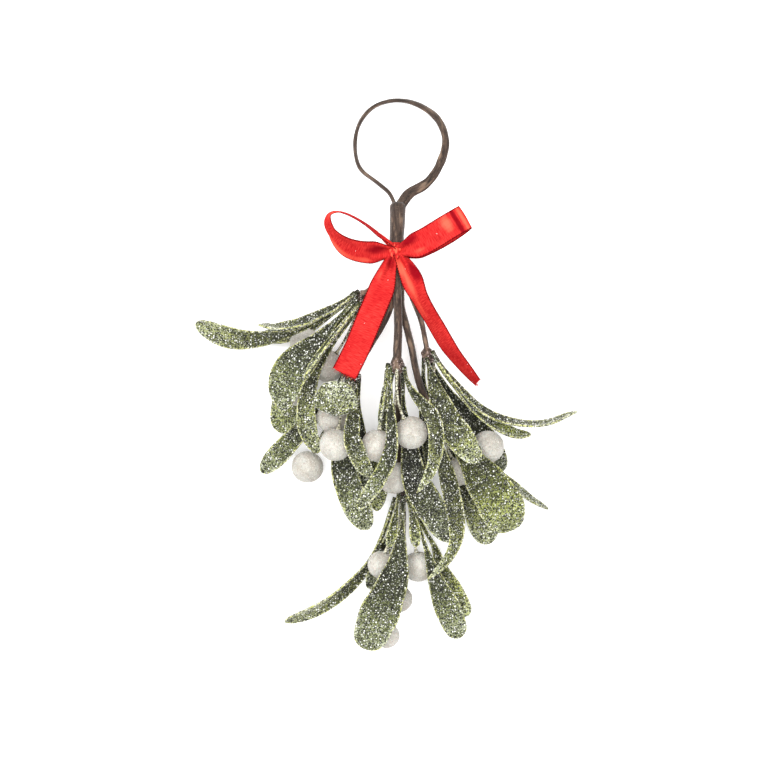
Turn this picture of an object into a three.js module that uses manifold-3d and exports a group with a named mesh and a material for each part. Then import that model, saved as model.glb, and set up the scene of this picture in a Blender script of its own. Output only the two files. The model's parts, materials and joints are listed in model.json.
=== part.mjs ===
// An artificial mistletoe bunch lying on a flat surface: a taped wire hanger, a taped stem, six sprigs
// of frosted leaves and pearl berries, and a satin ribbon bow. Millimetres. X runs across the bunch,
// Y from the leaves to the hanger, and Z up from the surface that it lies on.
import * as THREE from 'three'
import { mergeVertices } from 'three/addons/utils/BufferGeometryUtils.js'
import Module from 'manifold-3d'

const wasm = await Module()
wasm.setup()

// ---- Driving dimensions ------------------------------------------------------------------------------

const GAP = 0.3 // clearance between a piece and its seat

const LEAF_THICKNESS = 1.0 // at the blade
const PETIOLE_THICKNESS = 1.4 // where a leaf leaves its hub
const PETIOLE_WIDTH = 1.6
const LEAF_CUP = 0.22 // how far the rims rise, as a share of the half width
const LEAF_STATIONS = [0, 0.07, 0.16, 0.28, 0.42, 0.57, 0.72, 0.84, 0.92, 0.97] // along the midrib
// Most leaves' outline: the share of the length where it is widest, how slender its foot is (1 is plump)
// and how blunt its tip is (2 is an ellipse).
const SPATULA = { widestAt: 0.76, slender: 2, blunt: 2.3 }
const PADDLE = { widestAt: 0.82, slender: 3.4, blunt: 2.3 } // a blade on a long thin foot
const SICKLE = { widestAt: 0.5, slender: 1.3, blunt: 1.6 } // tapers both ways
const OBLONG = { widestAt: 0.7, slender: 1.1, blunt: 2.3 } // broad almost from its foot
const POINTED = { widestAt: 0.72, slender: 2.6, blunt: 1.6 } // narrows early to its tip
const FOLDED = { widestAt: 0.66, slender: 2, blunt: 2.7 } // broadest where it folds back
const PETIOLE_SHARE = 1 / 3 // share of the length over which a leaf thins to its blade

const BERRY_RADIUS = 6.4
const STALK_RADIUS = 0.7
const BERRY_SIDES = 10
const BERRY_ANGLES = [18, 45, 72, 99, 126, 153] // degrees from the stalk, one ring each
const STALK_RINGS = 4

const STEM_SIDES = 8
const STEM_STEP = 6
const HUB_LENGTH = 5.5 // the swollen end of a stem that the leaves grow from
const HUB_SHOULDER = 0.35 // share of the hub over which it swells

const BUNDLE_TOP = 69.4 // where the hanger's legs meet
const BUNDLE_END = 42 // where the bundle parts into stems
const STEMS_START = BUNDLE_END - 2 * GAP
const BUNDLE_RADIUS = 2.7
const BUNDLE_TOP_RADIUS = 3.1
const BUNDLE_SIDES = 12

const HANGER_FAR = 113.2
const HANGER_HIGH = 16.6 // height of its legs
const HANGER_LOW = 1.6 // height of its far end
const HANGER_FOOT_WIDE = 4 // the flat tape on the right leg, where it leaves the bundle
const HANGER_WIDE = 2.9 // and further on
const HANGER_FOOT_SHARE = 0.35 // share of the length over which it narrows
const HANGER_THIN = 1.6
const HANGER_STEPS = 44
const HANGER_TWIST = [0.25, 0.6] // shares of the length between which the tape turns on edge

const RIBBON_WIDTH = 10
const RIBBON_THICKNESS = 0.6
const RIBBON_SMALLEST = 0.02 // slivers that the joined strips leave under this are dropped
const RIBBON_PINCHED = 4.6 // width where the bow is gathered into the knot
const LOOP_PINCH = 8 // from the knot to a loop's full width
const TAIL_PINCH = 15 // and to a tail's
const KNOT = { x: 4.4, y: 51.4, z: 24.8, wide: 6.2, long: 6.5, deep: 4.5 }
const WRAP_AT = 0.65 // share of the bundle's length where the ribbon is tied round it
const WRAP_WIDTH = 6.4
const WRAP_THICKNESS = 0.9
const WRAP_SIDES = 20
const WRAP_ROOM = BUNDLE_RADIUS + 0.75 // inner radius, clear of the tapering bundle

const UP = new THREE.Vector3(0, 0, 1)

// ---- Materials ---------------------------------------------------------------------------------------

const paint = (color, roughness) => new THREE.MeshStandardMaterial({ color, roughness, metalness: 0 })
const FROSTED_GREEN = paint('#7b8a6c', 0.75)
const YELLOW_GREEN = paint('#8d9a58', 0.7)
const DARK_GREEN = paint('#56633f', 0.75)
const PEARL = paint('#dcd7cd', 0.6)
const BROWN_TAPE = paint('#6b5646', 0.8)
const RED_SATIN = paint('#de2626', 0.35)

// ---- Building blocks ---------------------------------------------------------------------------------

const object = new THREE.Group()
const vector = ([x, y, z]) => new THREE.Vector3(x, y, z)
const curveThrough = (points) => new THREE.CatmullRomCurve3(points, false, 'centripetal')

function add(parent, name, geometry, material) {
  const mesh = new THREE.Mesh(geometry, material)
  mesh.name = name
  parent.add(mesh)
  return mesh
}

// A closed skin over rings of equal length that turn right-handed about the way they run. Each end is
// closed by a fan to its own middle point.
function loft(rings, start, end) {
  const sides = rings[0].length
  const points = [...rings.flat(), start, end]
  const startIndex = points.length - 2
  const endIndex = points.length - 1
  const index = []
  for (let side = 0; side < sides; side++) {
    const next = (side + 1) % sides
    for (let row = 0; row < rings.length - 1; row++) {
      const a = row * sides + side
      const b = row * sides + next
      index.push(a, b, b + sides, a, b + sides, a + sides)
    }
    const last = (rings.length - 1) * sides
    index.push(startIndex, next, side, endIndex, last + side, last + next)
  }
  const geometry = new THREE.BufferGeometry().setFromPoints(points)
  geometry.setIndex(index)
  return geometry
}

// The frame of a section that faces `face` on a line running along `tangent`.
function sectionFrame(tangent, face) {
  const normal = face.clone().addScaledVector(tangent, -face.dot(tangent)).normalize()
  const side = new THREE.Vector3().crossVectors(tangent, normal)
  return { normal, side }
}

// A ring of points round `centre`, an ellipse with one half size along the side and one along the normal.
function ellipseRing(centre, { normal, side }, halfSide, halfNormal, sides) {
  return Array.from({ length: sides }, (_, i) => {
    const angle = (i / sides) * 2 * Math.PI
    return centre
      .clone()
      .addScaledVector(normal, Math.cos(angle) * halfNormal)
      .addScaledVector(side, Math.sin(angle) * halfSide)
  })
}

// ---- Leaf --------------------------------------------------------------------------------------------

// Share of the full width at a share of the length.
function leafOutline(along, { widestAt, slender, blunt }) {
  if (along < widestAt) return Math.sin((Math.PI / 2) * (along / widestAt)) ** slender
  const pastWidest = (along - widestAt) / (1 - widestAt)
  return (1 - pastWidest ** blunt) ** (1 / blunt)
}

// A leaf, channelled along its midrib. `roll` turns its face about the midrib, in degrees from
// facing up towards the right of a traveller to the tip, given at the foot and at the tip.
// A leaf that is folded over faces the point it is `foldedRound` instead of up.
function leafGeometry(points, { width, outline = SPATULA, roll: [rollFoot, rollTip], foldedRound }) {
  const midrib = curveThrough(points)
  const rings = LEAF_STATIONS.map((along) => {
    const centre = midrib.getPointAt(along)
    const tangent = midrib.getTangentAt(along)
    const roll = THREE.MathUtils.degToRad(THREE.MathUtils.lerp(rollFoot, rollTip, along))
    const upperFace = foldedRound ? vector(foldedRound).sub(centre) : UP
    const { normal, side } = sectionFrame(tangent, upperFace)
    normal.applyAxisAngle(tangent, roll)
    side.applyAxisAngle(tangent, roll)
    const half = Math.max(PETIOLE_WIDTH / 2, (width / 2) * leafOutline(along, outline))
    const thickness = THREE.MathUtils.lerp(PETIOLE_THICKNESS, LEAF_THICKNESS,
      Math.min(1, along / PETIOLE_SHARE))
    const rise = LEAF_CUP * (half - PETIOLE_WIDTH / 2)
    const corner = (across, face) => centre
      .clone()
      .addScaledVector(side, across * half)
      .addScaledVector(normal, Math.abs(across) * rise + (face * thickness) / 2)
    return [corner(-1, 1), corner(0, 1), corner(1, 1), corner(1, -1), corner(0, -1), corner(-1, -1)]
  })
  return loft(rings, midrib.getPointAt(0), midrib.getPointAt(1))
}

// ---- Berry -------------------------------------------------------------------------------------------

// A ball on a thin stalk. The stalk starts at the first point and runs on to the ball's centre, the last.
function berryGeometry(points, radius) {
  const centre = points.at(-1)
  const axis = centre.clone().sub(points.at(-2)).normalize()
  const seat = centre.clone().addScaledVector(axis, -radius)
  const stalk = curveThrough([...points.slice(0, -1), seat])
  const rings = Array.from({ length: STALK_RINGS }, (_, i) => {
    const along = i / STALK_RINGS
    const frame = sectionFrame(stalk.getTangentAt(along), UP)
    return ellipseRing(stalk.getPointAt(along), frame, STALK_RADIUS, STALK_RADIUS, BERRY_SIDES)
  })
  const ballFrame = sectionFrame(axis, UP)
  for (const degrees of BERRY_ANGLES) {
    const angle = THREE.MathUtils.degToRad(degrees)
    const middle = centre.clone().addScaledVector(axis, -Math.cos(angle) * radius)
    const reach = Math.sin(angle) * radius
    rings.push(ellipseRing(middle, ballFrame, reach, reach, BERRY_SIDES))
  }
  return loft(rings, stalk.getPointAt(0), centre.clone().addScaledVector(axis, radius))
}

// ---- Stems -------------------------------------------------------------------------------------------

// A round stem whose last stretch swells into a hub.
function stemGeometry(points, radius, hubRadius) {
  const line = curveThrough(points)
  const length = line.getLength()
  const steps = Math.round(length / STEM_STEP)
  const hubFrom = 1 - HUB_LENGTH / length
  const stations = Array.from({ length: steps + 1 }, (_, i) => (i / steps) * hubFrom)
  stations.push(hubFrom + HUB_SHOULDER * (1 - hubFrom), 1)
  const rings = stations.map((along) => {
    const swollen = along > hubFrom ? hubRadius : radius
    return ellipseRing(line.getPointAt(along), sectionFrame(line.getTangentAt(along), UP), swollen,
      swollen, STEM_SIDES)
  })
  return loft(rings, line.getPointAt(0), line.getPointAt(1))
}

// A sprig: a stem with leaves and berries round its hub. A leaf or berry is placed by `around`, the
// degrees about the stem (0 on the right of a stem that points down the bunch, 90 on top), and by
// `back`, its distance from the stem's end.
function sprig({ letter, stem, radius, hub, leaves, berries }) {
  const group = new THREE.Group()
  const stemPoints = stem.map(vector)
  add(group, `stem_${letter}`, stemGeometry(stemPoints, radius, hub), BROWN_TAPE)

  const line = curveThrough(stemPoints)
  const axis = line.getTangentAt(1)
  const right = new THREE.Vector3().crossVectors(UP, axis).normalize()
  const above = new THREE.Vector3().crossVectors(axis, right)
  const seat = (around, back, footRadius) => {
    const angle = THREE.MathUtils.degToRad(around)
    const out = right.clone().multiplyScalar(Math.cos(angle)).addScaledVector(above, Math.sin(angle))
    const reach = hub + GAP + footRadius
    return line.getPointAt(1).addScaledVector(axis, -back).addScaledVector(out, reach)
  }

  leaves.forEach((leaf, i) => {
    const points = [seat(leaf.around, leaf.back, PETIOLE_WIDTH / 2), ...leaf.path.map(vector)]
    add(group, `leaf_${letter}${i + 1}`, leafGeometry(points, leaf), leaf.finish ?? FROSTED_GREEN)
  })
  berries.forEach(({ around, back, path, size = 1 }, i) => {
    const points = [seat(around, back, STALK_RADIUS), ...path.map(vector)]
    add(group, `berry_${letter}${i + 1}`, berryGeometry(points, size * BERRY_RADIUS), PEARL)
  })
  return group
}

// ---- The six sprigs ----------------------------------------------------------------------------------

const SPRIG_A = {
  letter: 'a', radius: 1.0, hub: 2.0,
  stem: [[2.2, STEMS_START, 22.9], [-3, 38.6, 22.5], [-11, 32.2, 22]],
  leaves: [
    // the long one that reaches out to the left
    { around: 165, back: 1, width: 9, outline: PADDLE, roll: [0, -25],
      path: [[-24, 24.9, 25], [-33, 21, 22.5], [-42, 18.6, 17], [-60, 18.4, 6], [-75.2, 24, 1.5]] },
    // edge-on above it
    { around: 140, back: 3, width: 7, outline: OBLONG, roll: [40, 75],
      path: [[-19.7, 29.1, 28.8], [-30.6, 24, 30.2], [-40.3, 21.7, 28.2], [-48.7, 23, 24]] },
    // the broad one
    { around: 100, back: 1, width: 14.4, outline: POINTED, roll: [0, 0],
      path: [[-19.2, 23.8, 27.8], [-28.4, 13.1, 28.3], [-37.2, 3, 27.3], [-39.7, -10.6, 23.4]] },
    // below the broad one
    { around: 280, back: 1, width: 13.6, roll: [0, 0], finish: YELLOW_GREEN,
      path: [[-18, 24, 13], [-26.5, 11, 6.5], [-36, -3, 5], [-41.4, -19.4, 2.5]] },
    // thin, edge-on, on top
    { around: 62, back: 1, width: 6, roll: [60, 80],
      path: [[-17.2, 21.1, 33.4], [-23, 13.3, 35], [-30.8, 2.3, 34.5]] },
    // long and narrow, hanging to the lower left
    { around: 24, back: 1, width: 7.5, roll: [0, 0],
      path: [[-19.5, 16.5, 24.2], [-26.9, 5.5, 24], [-30, -5.5, 23.6], [-29.6, -18, 21.5],
        [-25.7, -26.9, 17.5]] },
    // underneath, on the surface
    { around: 240, back: 1, width: 7, roll: [0, 0], finish: DARK_GREEN,
      path: [[-20, 28, 12], [-36, 20.8, 3], [-50, 18.4, 1.2]] },
  ],
  berries: [
    { around: 202, back: 1, path: [[-20, 22.5, 16.5], [-30.8, 15.4, 15]] },
    { around: 350, back: 0.5, path: [[-18, 20.5, 21], [-26.5, 10.5, 21.8], [-33.9, -2.3, 15.5]] },
    { around: 316, back: 0.5, path: [[-14.7, 18.5, 18], [-21.8, 7, 16.2]] },
  ],
}

const SPRIG_B = {
  letter: 'b', radius: 1.25, hub: 2.1,
  stem: [[3.4, STEMS_START, 20.1], [3.1, 32.8, 20.5], [0.4, 25, 21], [-4, 17.5, 21.5],
    [-14, 1.6, 22]],
  leaves: [
    // folded back on itself, its blunt end towards the stem
    { around: 90, back: 3.5, width: 16.8, outline: FOLDED, roll: [0, 0], foldedRound: [-18, -4, 32.2],
      path: [[-16, -3, 28], [-18.2, -9.2, 30.2], [-18.8, -11.2, 33.4], [-18.8, -8.2, 36.2],
        [-18.8, 1.2, 36.6]] },
    // narrow, curling over the berry and away to the right
    { around: 0, back: 1, width: 7.6, outline: OBLONG, roll: [-20, -30],
      path: [[-11.4, -6, 27], [-12.2, -13.9, 31], [-12.8, -19.7, 32.8], [-11, -25.8, 33],
        [-8.2, -31.6, 30.5], [-4.6, -35.1, 27]] },
    // the large lower one
    { around: 300, back: 0.5, width: 11.2, roll: [0, 0],
      path: [[-14.6, -12, 11], [-16.4, -27, 12.5], [-15.2, -36, 13.5], [-11.3, -47, 14], [-6.2, -57.4, 11]] },
    // dark, behind the large one
    { around: 335, back: 3.5, width: 7.5, roll: [0, 0], finish: DARK_GREEN,
      path: [[-10.2, -12, 10.8], [-8.8, -29, 10.2], [-6.8, -46, 8.5]] },
    // to the lower left, down to the surface
    { around: 215, back: 1, width: 8.5, roll: [0, 0],
      path: [[-23.5, -8.5, 12], [-33, -18.5, 9], [-48.9, -35.2, 1.5]] },
    // underneath
    { around: 270, back: 4, width: 9, roll: [0, 0], finish: DARK_GREEN,
      path: [[-13.6, -14, 7.5], [-14, -30, 4], [-15, -46, 2.5]] },
  ],
  berries: [
    { around: 150, back: 0.5, path: [[-17.8, -4, 20.5], [-20, -13, 18.6]] },
    { around: 48, back: 0.5, path: [[-15.6, -6, 24.8], [-17, -13.5, 26.3], [-18.7, -23.5, 26.4]] },
    { around: 243, back: 3, path: [[-19.8, -9, 9.5], [-25.5, -22, 6], [-30.4, -32.8, 6.6]] },
  ],
}

const SPRIG_C = {
  letter: 'c', radius: 1.5, hub: 2.4,
  stem: [[5, STEMS_START, 22.8], [5.4, 30, 25], [5.5, 21, 27], [4.9, 4.7, 30]],
  leaves: [
    // long, in front, its tip swinging to the left
    { around: 140, back: 1, width: 6.8, outline: OBLONG, roll: [40, 20],
      path: [[2.5, -6, 35], [2.9, -14, 37], [3.3, -20, 37], [2.4, -28, 35.7], [-0.5, -34.2, 32.8],
        [-5.3, -42, 28.5], [-10.1, -48.4, 25]] },
    // in front, arching to the right and back
    { around: 30, back: 1, width: 6.8, outline: SICKLE, roll: [15, 35],
      path: [[9.3, 0, 34.2], [15.6, -8.6, 38], [19.6, -14.5, 39.4], [20.3, -22, 39.6], [18.8, -31.5, 37.3],
        [12.9, -42, 31.5]] },
    // large and dark, behind the berry
    { around: 312, back: 1, width: 11.8, roll: [0, 0], finish: DARK_GREEN,
      path: [[7.8, -11, 22], [9.5, -20, 21], [12, -36.5, 24.5], [20.3, -51.4, 19], [27.5, -61.6, 14]] },
    // short, edge-on
    { around: 188, back: 3, width: 4, roll: [60, 80],
      path: [[0, -4, 32], [-1.6, -16, 31]] },
    // behind, low down
    { around: 246, back: 1, width: 8, roll: [0, 0], finish: YELLOW_GREEN,
      path: [[1, -8, 20], [-0.5, -22, 9.5], [-1.5, -36, 6], [-3, -50.5, 4]] },
  ],
  berries: [
    { around: 212, back: 0.5, path: [[-0.5, -8, 25.2], [-2.5, -23.8, 25.3]] },
    { around: 90, back: 0.5, path: [[4.9, -2, 32.8], [6.5, -11, 31], [10.5, -18.7, 30]] },
    { around: 280, back: 0.5, path: [[4, -12, 20], [4.3, -26, 17], [3.9, -36.7, 16.5]] },
  ],
}

const SPRIG_D = {
  letter: 'd', radius: 0.9, hub: 1.9,
  stem: [[7.7, STEMS_START, 22.9], [14, 25.7, 25], [15.6, 19.1, 25.5], [17.2, 8.6, 26]],
  leaves: [
    // the longest, edge-on, sweeping out to the right
    { around: 36, back: 3, width: 7, outline: OBLONG, roll: [-55, -78],
      path: [[21.3, 8, 29], [29, -1.3, 28.2], [38.5, -10.7, 24.8], [50.5, -15.4, 18], [64, -15.7, 9.4],
        [76.8, -11.1, 3.5]] },
    // below it
    { around: 358, back: 1, width: 6.8, roll: [-45, -58], finish: YELLOW_GREEN,
      path: [[23.6, 4.2, 22.8], [29.6, -3.4, 21.2], [36, -10.8, 21.2], [43.5, -16.4, 20.6], [51.9, -19.8, 18],
        [57.6, -19.7, 15.6]] },
    // in front, down to the right
    { around: 100, back: 1, width: 10.8, outline: OBLONG, roll: [0, 0],
      path: [[19.5, -1, 32], [23.6, -12.1, 34], [29.7, -21.5, 33], [36.4, -29.8, 30]] },
    // dark, passing under the berry
    { around: 284, back: 1, width: 10, outline: OBLONG, roll: [0, 0], finish: DARK_GREEN,
      path: [[25.2, -4.8, 18.5], [33.8, -15.4, 12.5], [41.6, -24.4, 7.3], [47.5, -34.5, 1]] },
    // underneath
    { around: 245, back: 3, width: 9, roll: [0, 0], finish: DARK_GREEN,
      path: [[15.5, -2, 15], [17.5, -14, 9], [19, -34, 3]] },
  ],
  berries: [
    { around: 322, back: 0.5,
      path: [[20.8, -4, 24.2], [27, -14, 23], [33.6, -20, 20.5], [40.6, -24.6, 18.5]] },
  ],
}

const SPRIG_E = {
  letter: 'e', radius: 1.25, hub: 2.1,
  stem: [[6.6, STEMS_START, 20.1], [6.9, 28.9, 20], [8.6, 23, 20.5], [10.5, 15.2, 21],
    [14, -0.4, 21], [18.7, -10.9, 20.5]],
  leaves: [
    // broad and yellow-green
    { around: 60, back: 1, width: 17.5, roll: [0, 0], finish: YELLOW_GREEN,
      path: [[27, -21, 25], [34, -30, 25], [40.2, -39.2, 24.5], [45.4, -47, 22], [49.4, -57.6, 16]] },
    // edge-on, to the right
    { around: 10, back: 1, width: 7, roll: [-40, -75],
      path: [[28.5, -19, 16], [38.2, -30.6, 11.2], [48.8, -39.2, 9.5], [59.5, -46.8, 5],
        [65.4, -49.8, 3.5]] },
    // under the broad one
    { around: 300, back: 1, width: 12.6, roll: [0, 0],
      path: [[25.4, -22, 12], [30.3, -33.6, 8], [36.2, -46, 8], [41.6, -63.6, 5]] },
    // long, curving back to the left
    { around: 132, back: 1, width: 7.6, outline: SICKLE, roll: [0, 45],
      path: [[21, -23, 25.5], [24.6, -35, 26], [27.2, -46, 25.3], [28.7, -55, 22.8], [28, -62, 20.6],
        [24.8, -69, 18.6], [17.6, -76.4, 16.5]] },
    // underneath
    { around: 195, back: 1, width: 8, roll: [0, 0], finish: DARK_GREEN,
      path: [[14, -26, 11], [14, -42, 6], [15, -57, 3]] },
  ],
  berries: [
    { around: 240, back: 0.5, size: 0.88, path: [[22.5, -20, 18.5], [28.9, -34.3, 17]] },
  ],
}

const SPRIG_F = {
  letter: 'f', radius: 1.25, hub: 2.1,
  stem: [[5, STEMS_START, 17.5], [5.3, 20, 17], [5.5, 5, 16], [6, -15, 11], [6.5, -36, 8],
    [7.4, -46.4, 9]],
  leaves: [
    // long and thin, to the lower left
    { around: 184, back: 1, width: 8.5, roll: [-55, -52],
      path: [[-0.6, -60, 7.2], [-6.4, -71.4, 5], [-11.2, -77.3, 4.8], [-23, -87.2, 4.5],
        [-39.6, -94.8, 1.5]] },
    // the broad front one
    { around: 85, back: 1, width: 15.6, roll: [0, 0],
      path: [[7, -57, 17], [6, -65, 19.5], [4.3, -75, 19.8], [0.5, -84.5, 17.5], [-3, -93, 13.5],
        [-7.3, -105, 8]] },
    // to the right
    { around: 30, back: 1, width: 10.4, outline: PADDLE, roll: [0, 0],
      path: [[13.4, -55, 12.6], [16.4, -64, 13], [19.6, -75, 12.4], [23.6, -85, 9.5], [30.2, -101, 3.5]] },
    // behind it
    { around: 352, back: 1, width: 7.6, outline: PADDLE, roll: [0, 0], finish: YELLOW_GREEN,
      path: [[15.8, -57, 8], [20.6, -66, 5.5], [22.9, -73.5, 4], [28.2, -83.2, 3.2], [33.6, -92.4, 2.4]] },
    // low, to the left
    { around: 224, back: 1, width: 6, roll: [0, 0], finish: DARK_GREEN,
      path: [[3.6, -57, 3.6], [0, -67, 2.2], [-6.2, -81.8, 1.5]] },
    // two short ones in the middle
    { around: 58, back: 3, width: 4.5, roll: [0, 0],
      path: [[11.6, -54, 14.7], [12.6, -64, 15.4]] },
    { around: 113, back: 3, width: 4.5, roll: [-20, -20], finish: YELLOW_GREEN,
      path: [[4, -54, 14.2], [1.8, -64, 15.4]] },
  ],
  berries: [
    { around: 140, back: 0.5, size: 0.86, path: [[3, -58, 12], [-1, -71.4, 10]] },
    { around: 318, back: 0.5, size: 0.96, path: [[11.5, -58, 7.5], [13.6, -72.4, 6.5]] },
    { around: 284, back: 0.5, size: 0.8, path: [[8.2, -60, 4.5], [7, -71.4, 3.4], [6.3, -85.4, 6]] },
    { around: 256, back: 0.5, size: 0.78,
      path: [[6, -60, 2], [3.6, -72, 1.2], [-2, -82, 1.6], [-3, -91, 3], [1.2, -100, 5.2]] },
  ],
}

for (const plan of [SPRIG_A, SPRIG_B, SPRIG_C, SPRIG_D, SPRIG_E, SPRIG_F]) object.add(sprig(plan))

// ---- Bundle and hanger -------------------------------------------------------------------------------

// The taped main stem, from the hanger's foot down to where the six stems leave it.
const bundleLine = curveThrough([[5.5, BUNDLE_TOP, 16.6], [5.2, 60, 17.9], [4.8, 51, 19.4],
  [5, BUNDLE_END, 20.3]].map(vector))
const bundleRings = [0, 0.15, 0.35, 0.6, 0.8, 1].map((along) => {
  const radius = THREE.MathUtils.lerp(BUNDLE_TOP_RADIUS, BUNDLE_RADIUS, Math.min(1, along * 2))
  const frame = sectionFrame(bundleLine.getTangentAt(along), UP)
  return ellipseRing(bundleLine.getPointAt(along), frame, radius, radius, BUNDLE_SIDES)
})
add(object, 'stem_bundle', loft(bundleRings, bundleLine.getPointAt(0), bundleLine.getPointAt(1)), BROWN_TAPE)

// The hanger: one wire under flat tape, bent into a teardrop with both legs on top of the bundle. It
// slopes from the bundle down to the surface. The flat tape shows its face on the right leg and its
// edge on the left.
const HANGER_OUTLINE = [[6.9, 70.6], [9.8, 74.6], [16.8, 79], [21.9, 86.5], [24.4, 96.4],
  [21.3, 105.4], [14, 111.2], [5.5, HANGER_FAR], [-3.6, 110.8], [-9.4, 104.2], [-11.5, 94.8], [-9.5, 85.2],
  [-2.3, 78.9], [2.2, 74.8], [4.1, 70.6]]

const hangerLine = curveThrough(HANGER_OUTLINE.map(([x, y]) => {
  const slope = (y - HANGER_OUTLINE[0][1]) / (HANGER_FAR - HANGER_OUTLINE[0][1])
  return new THREE.Vector3(x, y, THREE.MathUtils.lerp(HANGER_HIGH, HANGER_LOW, slope))
}))
const hangerRings = Array.from({ length: HANGER_STEPS + 1 }, (_, i) => {
  const along = i / HANGER_STEPS
  const tangent = hangerLine.getTangentAt(along)
  const frame = sectionFrame(tangent, UP)
  const twist = THREE.MathUtils.smoothstep(along, ...HANGER_TWIST) * (Math.PI / 2)
  frame.normal.applyAxisAngle(tangent, twist)
  frame.side.applyAxisAngle(tangent, twist)
  const narrowed = THREE.MathUtils.smoothstep(along, 0, HANGER_FOOT_SHARE)
  const width = THREE.MathUtils.lerp(HANGER_FOOT_WIDE, HANGER_WIDE, narrowed)
  return ellipseRing(hangerLine.getPointAt(along), frame, width / 2, HANGER_THIN / 2, STEM_SIDES)
})
add(object, 'hanger_loop', loft(hangerRings, hangerLine.getPointAt(0), hangerLine.getPointAt(1)), BROWN_TAPE)

// ---- Ribbon bow --------------------------------------------------------------------------------------

function toSolid(geometry) {
  const merged = mergeVertices(geometry, 1e-4)
  return new wasm.Manifold(new wasm.Mesh({
    numProp: 3,
    vertProperties: new Float32Array(merged.attributes.position.array),
    triVerts: new Uint32Array(merged.index.array),
  }))
}

function fromSolid(solid) {
  const mesh = solid.getMesh()
  const geometry = new THREE.BufferGeometry()
  geometry.setAttribute('position', new THREE.BufferAttribute(new Float32Array(mesh.vertProperties), 3))
  geometry.setIndex(new THREE.BufferAttribute(new Uint32Array(mesh.triVerts), 1))
  return geometry
}

// A strip of ribbon along a line. Each point of the line has the direction in which it faces; the strip
// is pinched where it enters the knot.
function ribbonStrip(stops, steps, isLoop) {
  const line = curveThrough(stops.map(({ at }) => vector(at)))
  const faces = new THREE.CatmullRomCurve3(stops.map(({ face }) => vector(face).normalize()))
  const rings = Array.from({ length: steps + 1 }, (_, i) => {
    const along = i / steps
    const position = line.getUtoTmapping(along)
    const frame = sectionFrame(line.getTangent(position), faces.getPoint(position))
    const fromStart = along * line.getLength()
    const fromEnd = (1 - along) * line.getLength()
    const opened = isLoop ? Math.min(fromStart, fromEnd) / LOOP_PINCH : fromStart / TAIL_PINCH
    const width = THREE.MathUtils.lerp(RIBBON_PINCHED, RIBBON_WIDTH, Math.min(1, opened))
    const centre = line.getPoint(position)
    const corner = (across, up) => centre.clone().addScaledVector(frame.side, (across * width) / 2)
      .addScaledVector(frame.normal, (up * RIBBON_THICKNESS) / 2)
    return [corner(-1, 1), corner(1, 1), corner(1, -1), corner(-1, -1)]
  })
  return toSolid(loft(rings, line.getPoint(0), line.getPoint(1)))
}

const LEFT_LOOP = [
  { at: [4, 51.3, 25.6], face: [0, -0.3, 1] },
  { at: [-3, 51, 27.5], face: [0, -0.6, 1] },
  { at: [-13.3, 52.3, 29.5], face: [-0.3, -0.9, 1] },
  { at: [-20, 58.5, 30], face: [-1, -0.6, 0.42] },
  { at: [-21.6, 64.6, 29.5], face: [-1, 0.3, 0.22] },
  { at: [-17.5, 66.6, 29], face: [-0.3, 1, 0.12] },
  { at: [-5.5, 60.4, 28], face: [0.6, 0.8, 0.18] },
  { at: [4, 52.2, 25.4], face: [0.6, 0.8, 0.3] },
]
const RIGHT_LOOP = [
  { at: [5.4, 51.6, 26], face: [0, 0, 1] },
  { at: [13, 54, 30], face: [-0.2, 0, 1] },
  { at: [20, 57.6, 31.4], face: [0, 0, 1] },
  { at: [29.5, 63.4, 30.4], face: [0.4, 0.2, 1] },
  { at: [31.3, 64.5, 28.8], face: [1, 0.6, 0] },
  { at: [29, 62.6, 27.3], face: [0, 0, -1] },
  { at: [18, 55.6, 26.3], face: [0, 0, -1] },
  { at: [5.4, 51, 24.6], face: [0, 0, -1] },
]
const LEFT_TAIL = [
  { at: [3.8, 50.5, 25.4], face: [0, 0.2, 1] },
  { at: [1.6, 44.5, 26.3], face: [0, 0.1, 1] },
  { at: [-2, 34.3, 27.8], face: [0.1, 0, 1] },
  { at: [-9, 17.2, 30], face: [0, 0, 1] },
  { at: [-15.2, 3.9, 31], face: [0, 0, 1] },
]
const RIGHT_TAIL = [
  { at: [5.7, 50.6, 25.7], face: [0.1, 0.2, 1] },
  { at: [8.6, 44.8, 28], face: [-0.3, -0.1, 1] },
  { at: [13.8, 33.8, 29.5], face: [-0.8, -0.6, 0.8] },
  { at: [24.8, 14.8, 31], face: [-0.8, -0.6, 0.66] },
  { at: [36, 0.6, 32.5], face: [-0.8, -0.6, 0.28] },
]

// The knot, a rounded block on top of the bundle.
function knotSolid() {
  const block = new THREE.SphereGeometry(1, 12, 8)
  block.deleteAttribute('normal')
  block.deleteAttribute('uv')
  block.scale(KNOT.wide / 2, KNOT.long / 2, KNOT.deep / 2)
  block.translate(KNOT.x, KNOT.y, KNOT.z)
  return toSolid(block)
}

// The turn of ribbon round the bundle under the knot.
function wrapSolid() {
  const outer = WRAP_ROOM + WRAP_THICKNESS
  const half = WRAP_WIDTH / 2
  const profile = [[WRAP_ROOM, -half], [outer, -half], [outer, half], [WRAP_ROOM, half], [WRAP_ROOM, -half]]
  const wrap = new THREE.LatheGeometry(profile.map(([x, y]) => new THREE.Vector2(x, y)), WRAP_SIDES)
  wrap.deleteAttribute('normal')
  wrap.deleteAttribute('uv')
  const axis = bundleLine.getTangentAt(WRAP_AT)
  wrap.applyQuaternion(new THREE.Quaternion().setFromUnitVectors(new THREE.Vector3(0, 1, 0), axis))
  const centre = bundleLine.getPointAt(WRAP_AT)
  wrap.translate(centre.x, centre.y, centre.z)
  return toSolid(wrap)
}

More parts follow.
